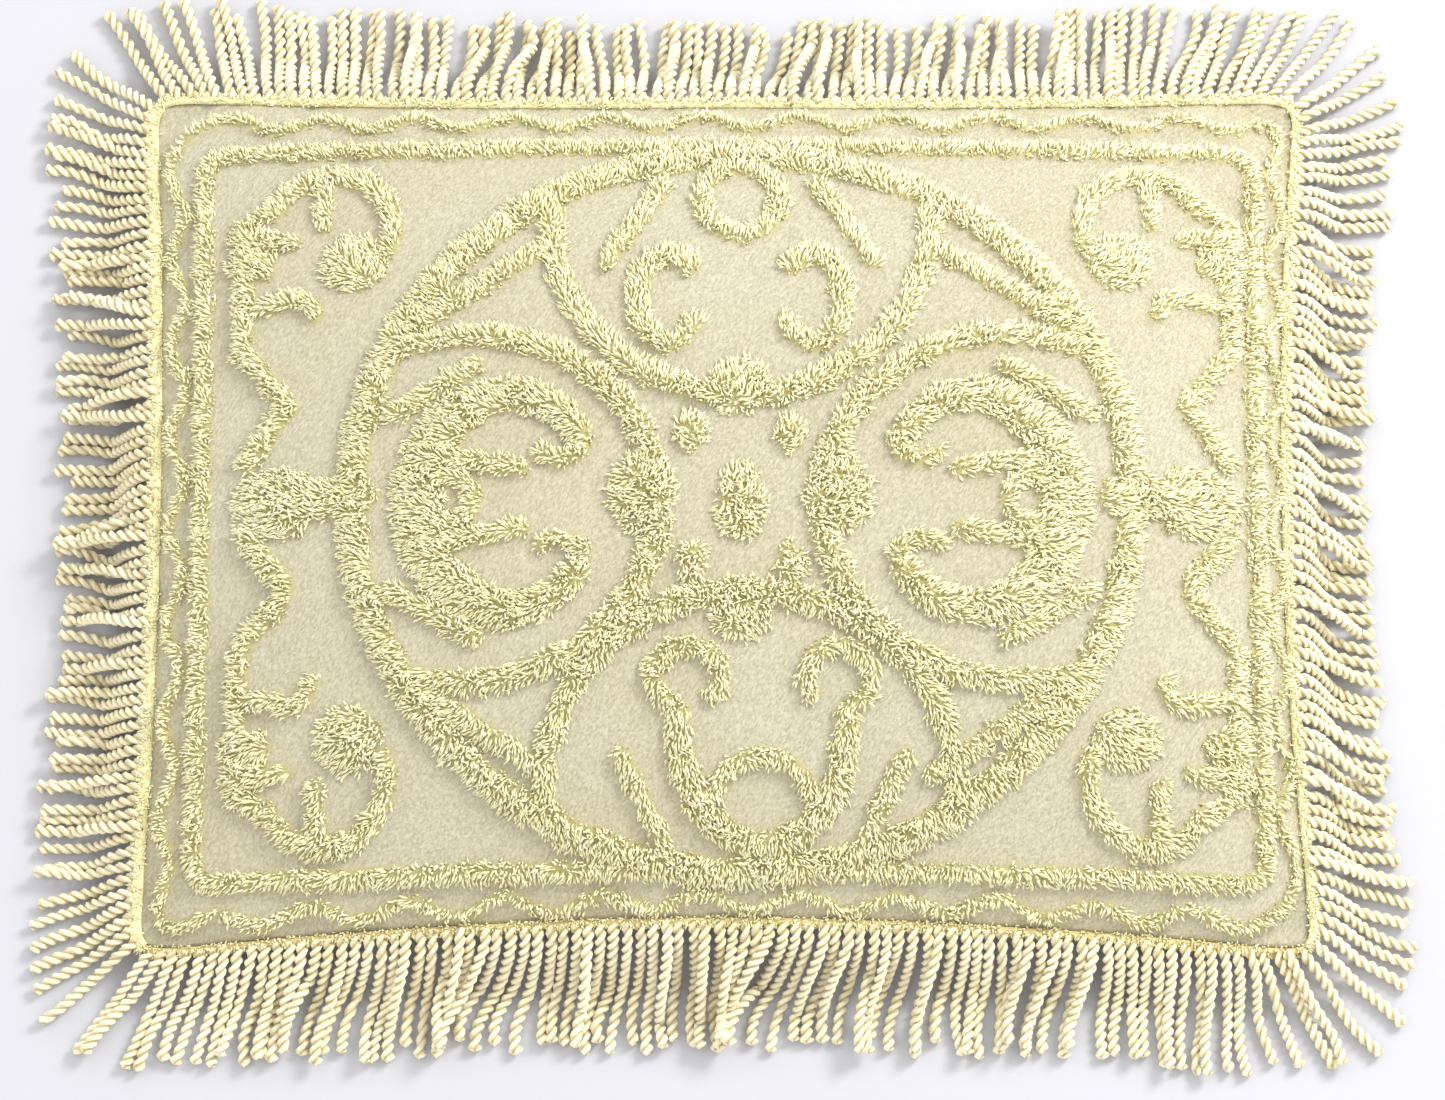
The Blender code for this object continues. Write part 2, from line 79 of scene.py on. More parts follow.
# The cover's form, the same as the solid's
HALF_WIDTH = (CUSHION_HIGH.x - CUSHION_LOW.x) / 2
HALF_DEPTH = (CUSHION_HIGH.y - CUSHION_LOW.y) / 2
DRAWN_IN_LEFT = 0.0100
DRAWN_IN_RIGHT = 0.0150
DRAWN_IN_ENDS = 0.0135
CORNER_SQUARENESS = 40.0
SEAM_AT_CORNER = 0.014
SEAM_AT_MIDDLE = 0.042
SEAM_SHAPE = 1.5
CROWN = 0.044
FULLNESS_LEFT = 3.0
FULLNESS_RIGHT = 4.5
FULLNESS_ENDS = 3.0
SIDE_SOFTNESS = 1.15
END_SOFTNESS = 1.4
UNDER_FULLNESS_SIDES = 6.0
UNDER_FULLNESS_ENDS = 5.0
UNDER_REACH = 1.35
OUTLINE_SAMPLES = 2400
SETTLING_STEPS = 8
RESTING = 1e-5
ON_EDGE = 1 - 1e-6
CLOTH_SETTINGS = {
    "quality": 6,
    "mass": 0.3,
    "bending_stiffness": 0.6,
    "use_pressure": True,
    "vertex_group_mass": "held",
}

# Tufted pattern
WAVE_HEIGHT = 0.0040
WAVE_COUNT = 40
BAND_STEP = 0.004
SEGMENTS_AT_ONCE = 12
MEDALLION_MIDDLE = (0.0085, -0.0090)
FOOT_MIDDLE = (0.0205, -0.0090)
CORNERS_MIDDLE = (0.0065, -0.0025)

# A tufted border: half its width and depth at the middle of its sides, how far its corners stand out
# past that, its shift, the height of its wave, and the width of its band
Border = namedtuple("Border", "half_width half_depth flare shift_x shift_y wave width")
BORDERS = (
    Border(0.292, 0.2085, 0.003, 0.002, -0.0025, 0.0, 0.0105),
    Border(0.304, 0.225, 0.007, 0.0005, -0.002, WAVE_HEIGHT, 0.007),
)

# Tufted arcs: centre, radii, angles in degrees, and the band's width at its start, middle and end
Arc = namedtuple("Arc", "x y radius_x radius_y start stop first middle last mirrored")
MEDALLION_ARCS = {
    "ring": Arc(0.0005, 0.003, 0.215, 0.206, 0, 360, 0.017, 0.017, 0.017, ""),
    "side lobe": Arc(0.15, -0.003, 0.105, 0.099, 68, 292, 0.013, 0.015, 0.013, "x"),
    "head lobe": Arc(0.0, 0.1635, 0.105, 0.104, 170, 370, 0.013, 0.015, 0.013, ""),
    "foot lobe": Arc(0.005, -0.1575, 0.112, 0.104, 190, -10, 0.013, 0.015, 0.013, ""),
    "crescent": Arc(0.128, -0.001, 0.05, 0.061, -140, 140, 0.015, 0.032, 0.015, "x"),
    "crescent hook": Arc(0.1, 0.034, 0.013, 0.012, 130, 320, 0.011, 0.011, 0.009, "xy"),
    "side eye": Arc(0.162, 0.0, 0.014, 0.014, 0, 360, 0.011, 0.011, 0.011, "x"),
    "head eye": Arc(0.0, 0.1795, 0.0215, 0.0215, 0, 360, 0.012, 0.012, 0.012, ""),
    "head scroll": Arc(0.04, 0.1175, 0.017, 0.0275, -150, 130, 0.011, 0.013, 0.015, "x"),
}
FOOT_ARCS = {
    "foot scroll": Arc(0.0415, -0.1005, 0.018, 0.0165, 215, -55, 0.011, 0.012, 0.012, "x"),
    "foot stem": Arc(0.0, -0.126, 0.046, 0.063, 5, -86, 0.014, 0.017, 0.014, "x"),
    "foot arch": Arc(0.0, -0.169, 0.027, 0.025, 10, 170, 0.011, 0.011, 0.011, ""),
}
CORNER_ARCS = {
    "corner scroll": Arc(0.2265, 0.157, 0.0345, 0.037, 27, 195, 0.012, 0.013, 0.012, "xy"),
    "vine bend": Arc(0.2615, 0.0525, 0.0115, 0.0105, 240, 120, 0.012, 0.013, 0.012, "xy"),
    "vine hook": Arc(0.248, 0.104, 0.014, 0.013, 175, 60, 0.01, 0.012, 0.012, "xy"),
}

# Short straight tufted bands, from one end to the other, with their width at each end
Dash = namedtuple("Dash", "x y to_x to_y first last mirrored")
MEDALLION_DASHES = {
    "tongue": Dash(0.168, 0.025, 0.121, 0.017, 0.013, 0.01, "xy"),
    "lobe dash": Dash(0.192, 0.051, 0.147, 0.077, 0.012, 0.012, "xy"),
    "leaf": Dash(0.105, 0.152, 0.182, 0.103, 0.012, 0.014, "xy"),
    "head dash": Dash(0.0435, 0.189, 0.0745, 0.14, 0.012, 0.011, "x"),
}
FOOT_DASHES = {
    "foot dash": Dash(0.077, -0.144, 0.054, -0.188, 0.012, 0.01, "x"),
}
CORNER_DASHES = {
    "vine arm": Dash(0.2555, 0.062, 0.276, 0.087, 0.012, 0.012, "xy"),
    "vine foot": Dash(0.2555, 0.043, 0.271, 0.0215, 0.012, 0.014, "xy"),
    "corner column": Dash(0.275, 0.089, 0.275, 0.164, 0.012, 0.013, "xy"),
    "hook arm": Dash(0.2555, 0.115, 0.2755, 0.111, 0.011, 0.011, "xy"),
    "corner spike": Dash(0.275, 0.155, 0.2475, 0.153, 0.018, 0.009, "xy"),
    "corner stem": Dash(0.2725, 0.164, 0.258, 0.177, 0.011, 0.011, "xy"),
    "corner stub": Dash(0.2305, 0.19, 0.2315, 0.162, 0.012, 0.01, "xy"),
    "side bar": Dash(0.264, -0.003, 0.208, -0.003, 0.03, 0.02, "x"),
}

# Filled tufted ovals
Oval = namedtuple("Oval", "x y radius_x radius_y mirrored")
MEDALLION_OVALS = {
    "middle dot": Oval(0.0, -0.003, 0.014, 0.022, ""),
    "small dot": Oval(0.027, 0.037, 0.009, 0.012, "xy"),
    "end boss": Oval(0.0, 0.065, 0.018, 0.016, "y"),
    "side boss": Oval(0.054, 0.003, 0.019, 0.024, "x"),
}
CORNER_OVALS = {
    "corner ball": Oval(0.213, 0.137, 0.019, 0.018, "xy"),
    "side star": Oval(0.2535, -0.004, 0.0265, 0.021, "x"),
    "corner mass": Oval(0.27, 0.139, 0.015, 0.011, "xy"),
}

# The motifs that share one middle and one zone of the pattern
Motifs = namedtuple("Motifs", "zone middle arcs dashes ovals")
MOTIFS = (
    Motifs("scrolls", MEDALLION_MIDDLE, MEDALLION_ARCS, MEDALLION_DASHES, MEDALLION_OVALS),
    Motifs("scrolls", FOOT_MIDDLE, FOOT_ARCS, FOOT_DASHES, {}),
    Motifs("corners", CORNERS_MIDDLE, CORNER_ARCS, CORNER_DASHES, CORNER_OVALS),
)

# The pattern as it is measured from: a band's centre line, or an oval
Band = namedtuple("Band", "zone centre half_widths")
Disc = namedtuple("Disc", "zone centre radii")
ZONES = ("borders", "rings", "scrolls", "corners")
RING_NAMES = ("ring", "side lobe", "head lobe", "foot lobe")

# How the pile lies over: its growth from the middle, and the sizes of the patches combed one way
LAY_RISE = 1.9
LAY_SHAPE = 1.0
COMBING = (0.009, 0.014, 0.022, 0.035)

# The length of a yarn end: shorter on narrow bands and at their rims, and shortest where the stitched row
# shows at the inner rim, where the ends also take the darkest tone as painted shade at the pile's roots
FULL_HALF_WIDTH = 0.0080
SHORTEST = 0.64
RIM_SHORTER = 0.25
STITCHED_RIM = 0.0016
STITCH_LENGTH = 0.40
RIM_ROOT_SHADE = 0.0
# Tones along a yarn end from root to tip: painted shade deep in the pile at the root, lightest at the tip
YARN_TONES = (0.28, 0.62, 1.0)

# Where yarn ends are sewn, and how they lie over: how unevenly, and how much with each influence
JITTER = 0.6
RIM_JITTER = 0.0006
RIM_WAVES = (0.007, 0.011, 0.019, 0.031)
LIE_DOWNHILL = 1.25
LIE_COMBED = 1.5
LIE_OUTWARD = 0.70
LIE_OUTWARD_SHAPE = 1.5
LIE_UNEVEN = 0.28

# One curled yarn end: its root under the cloth, where it bends, how its two halves rise and lean, and
# how its size, thickness and tone vary
END_ROOT = 0.0004
END_BEND = 0.52
END_LEAN = 0.75
END_RISE = 0.30
END_LEAST_RISE = 0.05
END_CURL = 0.50
END_SIDES = 3
END_TAPER = (0.85, 1.0, 0.0)
END_SIZES = (0.72, 1.18)
END_THICKNESSES = (0.8, 1.2)
END_TONE = 0.14

# Painted shade on the cloth under the pile and along the seam's crevice, where the cloth faces up
PILE_SHADE_MARK = 1.6
FACING_UP = 0.3
SEAM_LINE = 0.985

# A side of the fringe: the angle that it faces, its count of cords, how far their ends reach past the
# seam, how far they all lean to one side, how far groups of them sway, and its heading's width and
# paleness
Side = namedtuple("Side", "middle cords reach lean sway heading paleness")
SIDES = {
    "front": Side(270, 90, 0.063, -0.0120, 0.0130, 0.0044, 0.0),
    "right": Side(0, 68, 0.0505, -0.0090, 0.0080, 0.0050, 0.5),
    "back": Side(90, 90, 0.062, -0.0040, 0.0090, 0.0050, 0.5),
    "left": Side(180, 70, 0.056, -0.0050, 0.0090, 0.0072, 0.45),
}

# The heading, and the yarn ends that stand out of it
HEADING_HEIGHT = 0.0048
HEADING_OFFSET = 0.0014
HEADING_STEP = 0.0035
HEADING_END = 0.0040
HEADING_YARN = 0.0012
HEADING_POINTS = 8
HEADING_GAP = 0.0004
HEADING_ANGLES = (-20, 150)
HEADING_LIE = 1.3
HEADING_UNEVEN = 0.6
HEADING_SIZES = (0.8, 1.0)
HEADING_SHADES = (0.35, 1.0)

# Where the cords start, and how they fan out at a corner, fall, lean and waver
ROOT_OFFSET = 0.0022
ROOT_LIFT = 0.0006
HALF_SIDE = 45.0
REACH_CORNER = 0.068
REACH_SHAPE = 3.0
FAN_ANGLE = 42.0
FAN_SHAPE = 7.0
LANDING = 0.52
LYING_PLIES = 1.27
FALL_SHAPE = 1.35
LEAN_PERIODS = (11.0, 19.0, 31.0)
LEAN_SHAPE = 4
LEAN_UNEVEN = 0.0020
CORD_JITTER = 0.14
CORD_TURN = 1.6
WOBBLE = 0.0011
WOBBLES = (0.7, 1.5)
BOW_START = 0.08
BOW_LENGTH = 0.80

# A cord's twist, size and tone, the knob at its end, and its darker start by the heading, which is painted
# shade where the cushion's side shades the cords
TWISTS = (0.92, 1.1)
LOOSE_EVERY = 0.045
LOOSE_TURN = 0.45
CORD_SIZES = (0.93, 1.07)
CORD_TONE = 0.12
KNOB = 0.22
KNOB_AT = 0.0026
KNOB_LENGTH = 0.0016
KNOB_TIP = 0.05
SHADED = 0.35
SHADED_LENGTH = 0.008

# Half of a cord's section, over one ply: each point's angle in degrees, radius in plies, and tone; the tone
# falls to 0 at the waist between the plies as painted shade in the groove
SectionPoint = namedtuple("SectionPoint", "angle radius tone")
CORD_SECTION = (
    SectionPoint(0, 0.98, 1.00),
    SectionPoint(34, 0.88, 0.90),
    SectionPoint(66, 0.62, 0.40),
    SectionPoint(90, 0.46, 0.00),
    SectionPoint(128, 0.76, 0.75),
)

# How cords that cross lie on each other: their thickness there and how gently they rise, in plies
CROSSING_PLIES = 1.7
MOST_LAYERS_PLIES = 3.4
RISE_RADIUS_PLIES = 5.0
NEIGHBOURS = 7

SEED_TUFTS = 5
SEED_FRINGE = 23
UP = np.array((0.0, 0.0, 1.0))
TINY = 1e-12

# For the materials
SOCKET_KINDS = {1: "NodeSocketFloat", 3: "NodeSocketVector", 4: "NodeSocketColor"}
ORIGIN = (0.0, 0.0, 0.0)
CREASE_TURN = (0.0, 0.0, 0.6)
CREASE_STRETCH = (1.0, 0.46, 1.0)
WHITE = (1.0, 1.0, 1.0, 1.0)
AGED_CLOTH = (0.96, 0.93, 0.86, 1.0)
AGED_YARN = (0.97, 0.95, 0.87, 1.0)

# For the stage
FLOOR_SIZE = 12.0
KEY_LIGHT_AT = (1.7, 1.2, 1.9)
KEY_LIGHT_SIZE = 0.9
KEY_LIGHT_COLOUR = (1.0, 0.985, 0.95)
SKY_COLOUR = (0.99, 0.97, 0.95, 1.0)
CAMERA_TARGET = (-0.0014, -0.0130, 0.0)


def float_property(name, description, value, low=0.0, **more):
    """A number that a user may change."""
    return FloatProperty(name=name, description=description, default=value, min=low, **more)


def length_property(name, description, value, low=0.0):
    """A length that a user may change."""
    return float_property(name, description, value, low, unit="LENGTH")


def count_property(name, description, value, low=1):
    """A whole number that a user may change."""
    return IntProperty(name=name, description=description, default=value, min=low)


def colour_property(name, thing, value):
    """The colour of a thing, which a user may change."""
    description = f"Colour of {thing}"
    return FloatVectorProperty(name=name, description=description, default=value, size=3, subtype="COLOR")


class CoverSettings(bpy.types.PropertyGroup):
    """The cloth cover and its filling."""

    cell: length_property("Cloth Cell", "Spacing of the mesh before it is subdivided", 0.0070, 0.004)
    pressure: float_property("Filling Pressure", "How hard the filling presses the cover out", 4.0)
    slack: float_property("Cloth Slack", "How much larger the cloth is cut than its form", 0.025, max=0.2)
    room: length_property("Room to Swell", "How far the cover starts inside its full form", 0.003)
    most_moved: length_property("Largest Move", "How far the filling may move a point", 0.007)
    frames: count_property("Settling Frames", "Frames for which the cover swells", 20)


class TuftSettings(bpy.types.PropertyGroup):
    """The cut yarn ends of the chenille."""

    spacing: length_property("Spacing", "Distance between neighbouring yarn ends", 0.00165, 0.001)
    length: length_property("Length", "Length of a yarn end in the middle of a band", 0.0074, 0.002)
    thickness: length_property("Thickness", "Thickness of a yarn end", 0.00135, 0.0005)
    base: length_property("Base", "How far the close pile lifts the cloth under it", 0.0030)
    spread: length_property("Spread", "How far yarn ends reach past where they are sewn", 0.0006)
    lay: length_property("Lay", "How far the pile lies over, away from the middle", 0.0024)
    unevenness: length_property("Unevenness", "How much the rim of a band wanders", 0.0024)


class FringeSettings(bpy.types.PropertyGroup):
    """The twisted cords and the heading that they hang from."""

    ply: length_property("Ply", "Thickness of one of a cord's two plies", 0.0035, 0.001)
    twist: length_property("Twist", "Length in which a cord's plies turn once", 0.0118, 0.004)
    uneven: length_property("Unevenness", "How much the reach of the cords varies", 0.0048)
    sway: float_property("Sway", "How much of each side's sway is used", 1.0, max=2.0)
    sections: count_property("Sections", "Rings of points along a cord", 46, 12)
    heading_ends: count_property("Heading Ends", "Yarn ends on each metre of the heading", 3900, 0)


class ColourSettings(bpy.types.PropertyGroup):
    """Colours of the cottons and the floor."""

    cloth: colour_property("Cloth", "the ground cloth", (0.675, 0.65, 0.51))
    # Painted shade in the cloth's creases, where the crease noise is low
    cloth_shade: colour_property("Cloth Shade", "the creases in the cloth", (0.44, 0.41, 0.28))
    tuft_tip: colour_property("Tuft Tip", "the tips of the yarn ends", (0.97, 0.95, 0.72))
    tuft_middle: colour_property("Tuft Middle", "the sides of the yarn ends", (0.95, 0.91, 0.56))
    # Painted shade deep in the pile, partly the yarn's deeper yellow; the cloth takes it too as painted
    # shade under the pile and along the seam
    tuft_root_and_shade: colour_property("Tuft Root", "the yarn deep in the pile", (0.54, 0.49, 0.20))
    heading: colour_property("Heading", "the heading of the fringe", (0.62, 0.52, 0.24))
    cord_tip: colour_property("Cord Light", "the plies of the cords", (0.90, 0.85, 0.66))
    cord_middle: colour_property("Cord Middle", "the sides of the plies", (0.80, 0.73, 0.51))
    # Painted shade in the grooves between the plies, and on the cords' start by the heading
    cord_shade: colour_property("Cord Groove", "the grooves between the plies", (0.43, 0.35, 0.18))
    floor: colour_property("Floor", "the floor", (0.505, 0.515, 0.56))


class StageSettings(bpy.types.PropertyGroup):
    """The floor, lights and camera."""

    key_power: float_property("Key Light", "Power of the large light at the upper right", 64.0)
    sky: float_property("Surrounding Light", "Strength of the light from all round", 1.35)
    elevation: float_property(
        "Camera Elevation", "Angle of the camera above the floor", math.radians(74.0), subtype="ANGLE"
    )
    distance: length_property("Camera Distance", "Distance from the camera to its target", 4.2, 0.5)
    lens: float_property("Lens", "Focal length in millimetres", 188.0, 10.0)


def half_sizes(u, v):
    """Half width and half depth of the panel, less where the filling draws its sides in."""
    drawn_in = np.where(u > 0, DRAWN_IN_RIGHT, DRAWN_IN_LEFT)
    return HALF_WIDTH - drawn_in * (1 - v**2), HALF_DEPTH - DRAWN_IN_ENDS * (1 - u**2)


def plan_from_panel(u, v):
    """Plan place of the panel coordinates, which run from -1 to 1 between the seams."""
    half_width, half_depth = half_sizes(u, v)
    return np.stack((u * half_width, v * half_depth), axis=-1)


def panel_from_plan(points):
    """Panel coordinates of plan places, found by repeating the division until it settles."""
    u, v = points[..., 0] / HALF_WIDTH, points[..., 1] / HALF_DEPTH
    for _ in range(SETTLING_STEPS):
        half_width, half_depth = half_sizes(u, v)
        u, v = points[..., 0] / half_width, points[..., 1] / half_depth
    return np.clip(u, -1, 1), np.clip(v, -1, 1)


def seam_height(points):
    """Height of the seam, carried in over the panel."""
    u, v = panel_from_plan(points)
    return SEAM_AT_CORNER + (SEAM_AT_MIDDLE - SEAM_AT_CORNER) * (1 - np.abs(u * v) ** SEAM_SHAPE)


def cloth_height(points):
    """Height of the crowned upper cloth."""
    u, v = panel_from_plan(points)
    fullness = np.where(u > 0, FULLNESS_RIGHT, FULLNESS_LEFT)
    sides = (1 - np.abs(u) ** fullness) ** SIDE_SOFTNESS
    ends = (1 - np.abs(v) ** FULLNESS_ENDS) ** END_SOFTNESS
    return seam_height(points) + CROWN * sides * ends


def under_height(points):
    """Height of the lower cloth, which is flat at zero where it rests."""
    u, v = panel_from_plan(points)
    full = (1 - np.abs(u) ** UNDER_FULLNESS_SIDES) * (1 - np.abs(v) ** UNDER_FULLNESS_ENDS)
    return seam_height(points) * np.maximum(0.0, 1 - UNDER_REACH * full)


def rounded_corners(u, v):
    """Panel coordinates of a square grid, drawn in at its corners as the seam is."""
    most = np.maximum(np.maximum(np.abs(u), np.abs(v)), TINY)
    power = CORNER_SQUARENESS
    corner = np.abs(u / most) ** power + np.abs(v / most) ** power
    reach = np.maximum(corner, 1.0) ** (-1 / power)
    return u * reach, v * reach


def square_edge(start, stop):
    """Dense panel coordinates along the seam between two angles in degrees."""
    angle = np.radians(np.linspace(start, stop, OUTLINE_SAMPLES))
    across, along = np.cos(angle), np.sin(angle)
    most = np.maximum(np.abs(across), np.abs(along))
    return rounded_corners(across / most, along / most)


def lengths(points):
    """Distance along a row of points to each of them."""
    steps = np.linalg.norm(np.diff(points, axis=0), axis=1)
    return np.concatenate(([0.0], np.cumsum(steps)))


def read_path(points, places):
    """Points at the given distances along a row of points."""
    run = lengths(points)
    columns = [np.interp(places, run, points[:, axis]) for axis in range(points.shape[1])]
    return np.stack(columns, axis=-1)


def path_normals(points):
    """Unit normals to the right of a row of plan points."""
    tangent = np.gradient(points, axis=0)
    tangent /= np.linalg.norm(tangent, axis=1)[:, None]
    return np.column_stack((tangent[:, 1], -tangent[:, 0]))


def border_band(border):
    """A border that follows the seam, with its wave if it has one."""
    u, v = square_edge(0, 360)
    x = u * (border.half_width + border.flare * v**2)
    y = v * (border.half_depth + border.flare * u**2)
    dense = np.column_stack((x + border.shift_x, y + border.shift_y))
    length = lengths(dense)[-1]
    places = np.linspace(0, length, round(length / BAND_STEP) + 1)
    centre = read_path(dense, places)
    wave = border.wave * np.sin(2 * math.pi * WAVE_COUNT * places / length)
    centre += path_normals(centre) * wave[:, None]
    return Band("borders", centre, np.full(len(centre), border.width / 2))


def copies(shape, x, y, middle):
    """Plan points of every mirrored copy of a shape."""
    for flip_x in (1, -1) if "x" in shape.mirrored else (1,):
        for flip_y in (1, -1) if "y" in shape.mirrored else (1,):
            yield np.stack((flip_x * x, flip_y * y), axis=-1) + middle


def arc_bands(arcs, middle, zone):
    """The bands of a table of arcs."""
    for name, arc in arcs.items():
        turn = math.radians(abs(arc.stop - arc.start))
        radius = (arc.radius_x + arc.radius_y) / 2
        share = np.linspace(0, 1, round(turn * radius / BAND_STEP) + 1)
        angle = np.radians(arc.start + (arc.stop - arc.start) * share)
        x = arc.x + arc.radius_x * np.cos(angle)
        y = arc.y + arc.radius_y * np.sin(angle)
        widths = np.interp(share, (0, 0.5, 1), (arc.first, arc.middle, arc.last))
        place = "rings" if name in RING_NAMES else zone
        for centre in copies(arc, x, y, middle):
            yield Band(place, centre, widths / 2)


def dash_bands(dashes, middle, zone):
    """The bands of a table of dashes."""
    for dash in dashes.values():
        length = math.hypot(dash.to_x - dash.x, dash.to_y - dash.y)
        share = np.linspace(0, 1, round(length / BAND_STEP) + 1)
        x, y = dash.x + (dash.to_x - dash.x) * share, dash.y + (dash.to_y - dash.y) * share
        widths = dash.first + (dash.last - dash.first) * share
        for centre in copies(dash, x, y, middle):
            yield Band(zone, centre, widths / 2)


def discs(ovals, middle, zone):
    """The filled ovals of a table."""
    for oval in ovals.values():
        for centre in copies(oval, oval.x, oval.y, middle):
            yield Disc(zone, centre, np.array((oval.radius_x, oval.radius_y)))


def tufted_pattern():
    """All tufted bands and filled ovals of the face."""
    bands, ovals = [border_band(border) for border in BORDERS], []
    for motifs in MOTIFS:
        bands += arc_bands(motifs.arcs, motifs.middle, motifs.zone)
        bands += dash_bands(motifs.dashes, motifs.middle, motifs.zone)
        ovals += discs(motifs.ovals, motifs.middle, motifs.zone)
    return bands, ovals


def short_bands(bands):
    """The bands cut into short runs, which are quick to measure from."""
    for band in bands:
        for first in range(0, len(band.centre) - 1, SEGMENTS_AT_ONCE):
            run = slice(first, first + SEGMENTS_AT_ONCE + 1)
            yield Band(band.zone, band.centre[run], band.half_widths[run])


class Tufting:
    """Where plan points lie in the tufted pattern: how deep inside its edge, their share of the way
    from the middle of that band or oval to its edge, its half width, the way out from that middle,
    and the zone."""

    def __init__(self, points):
        self.points = points
        self.depth = np.full(len(points), -np.inf)
        self.share = np.full(len(points), np.inf)
        self.half_width = np.zeros(len(points))
        self.outward = np.zeros((len(points), 2))
        self.zone = np.full(len(points), -1)
        bands, ovals = tufted_pattern()
        for band in short_bands(bands):
            self.measure_band(band)
        for oval in ovals:
            self.measure_disc(oval)

    def near(self, low, high):
        """Numbers of the points in a plan box."""
        inside = (self.points >= low) & (self.points <= high)
        return np.nonzero(inside.all(axis=1))[0]

    def keep(self, numbers, share, half_width, offset, zone):
        """Keeps the measures that lie deeper than those found before."""
        depth = half_width * (1 - share)
        deeper = depth > self.depth[numbers]
        numbers, offset = numbers[deeper], offset[deeper]
        self.depth[numbers] = depth[deeper]
        self.share[numbers] = share[deeper]
        self.half_width[numbers] = half_width[deeper]
        size = np.maximum(np.linalg.norm(offset, axis=1), TINY)
        self.outward[numbers] = offset / size[:, None]
        self.zone[numbers] = ZONES.index(zone)

    def measure_band(self, band):
        """Measures the points near a short run of a band."""
        room = 2 * band.half_widths.max()
        numbers = self.near(band.centre.min(axis=0) - room, band.centre.max(axis=0) + room)
        start, run = band.centre[:-1], np.diff(band.centre, axis=0)
        offset = self.points[numbers][:, None, :] - start[None, :, :]
        along = np.clip((offset * run).sum(axis=2) / (run**2).sum(axis=1), 0, 1)
        offset -= along[..., None] * run
        half_width = band.half_widths[:-1] + along * np.diff(band.half_widths)
        share = np.linalg.norm(offset, axis=2) / half_width
        row, nearest = np.arange(len(numbers)), share.argmin(axis=1)
        found = (row, nearest)
        self.keep(numbers, share[found], half_width[found], offset[found], band.zone)

    def measure_disc(self, disc):
        """Measures the points near an oval."""
        numbers = self.near(disc.centre - 2 * disc.radii, disc.centre + 2 * disc.radii)
        offset = self.points[numbers] - disc.centre
        share = np.linalg.norm(offset / disc.radii, axis=1)
        self.keep(numbers, share, np.full(len(numbers), disc.radii.min()), offset, disc.zone)


def unit(vectors):
    """The vectors with a length of one."""
    return vectors / np.maximum(np.linalg.norm(vectors, axis=-1, keepdims=True), TINY)


def circle(count):
    """Points round a circle with a diameter of one."""
    turn = np.linspace(0, 2 * math.pi, count, endpoint=False)
    return np.column_stack((np.cos(turn), np.sin(turn))) / 2


def cross_ways(centres):
    """Unit directions across and upward along centre lines."""
    tangent = unit(np.gradient(centres, axis=1))
    across = unit(np.cross(UP, tangent))
    return across, np.cross(tangent, across)


def waves(points, wavelengths, rng):
    """A smooth uneven value between about -1 and 1 over plan points."""
    value = np.zeros(len(points))
    for wavelength in wavelengths:
        turn, phase = rng.uniform(0, 2 * math.pi, 2)
        across = points @ np.array((math.cos(turn), math.sin(turn)))
        value += np.sin(2 * math.pi * across / wavelength + phase)
    return value / len(wavelengths)


def vertex_values(mesh, name):
    """A vector of every vertex of a mesh, by name."""
    return np.array([getattr(vertex, name) for vertex in mesh.vertices])


def move_vertices(mesh, points):
    """Puts a mesh's vertices at points."""
    mesh.vertices.foreach_set("co", points.astype(np.float32).ravel())
    mesh.update()


def mark(mesh, name, domain, values):
    """Keeps a value for every point or edge of a mesh."""
    attribute = mesh.attributes.new(name, "FLOAT", domain)
    attribute.data.foreach_set("value", values.astype(np.float32).ravel())


def new_piece(name, vertices, polygons, material, tones=None):
    """A smooth mesh piece from arrays of vertices and of polygons, grouped by their number of corners."""
    mesh = bpy.data.meshes.new(name)
    corners = np.concatenate([group.ravel() for group in polygons]).astype(np.int32)
    sizes = np.concatenate([np.full(len(group), group.shape[1]) for group in polygons])
    starts = np.concatenate(([0], np.cumsum(sizes)[:-1])).astype(np.int32)
    mesh.vertices.add(len(vertices))
    mesh.vertices.foreach_set("co", vertices.astype(np.float32).ravel())
    mesh.loops.add(len(corners))
    mesh.loops.foreach_set("vertex_index", corners)
    mesh.polygons.add(len(sizes))
    mesh.polygons.foreach_set("loop_start", starts)
    mesh.update(calc_edges=True)
    mesh.validate()
    mesh.shade_smooth()
    if tones is not None:
        mark(mesh, "tone", "POINT", tones)
    mesh.materials.append(material)
    piece = bpy.data.objects.new(name, mesh)
    bpy.context.scene.collection.objects.link(piece)
    return piece


def sweep(centres, across, upward, outline, tones):
    """Closed tubes as (vertices, polygons, tones). centres, across and upward are tubes by sections
    by 3, outline is tubes by sections by points by 2, and tones is tubes by sections by points."""
    tubes, sections = centres.shape[:2]
    around = outline.shape[2]
    rings = centres[:, :, None, :] + across[:, :, None, :] * outline[..., :1]
    rings = rings + upward[:, :, None, :] * outline[..., 1:]
    number = np.arange(tubes * sections * around).reshape(tubes, sections, around)
    follow = np.roll(number, -1, axis=2)
    walls = np.stack((number[:, :-1], follow[:, :-1], follow[:, 1:], number[:, 1:]), axis=-1)
    caps = np.concatenate((number[:, 0, ::-1], number[:, -1]))
    return rings.reshape(-1, 3), [walls.reshape(-1, 4), caps], np.broadcast_to(tones, number.shape).ravel()


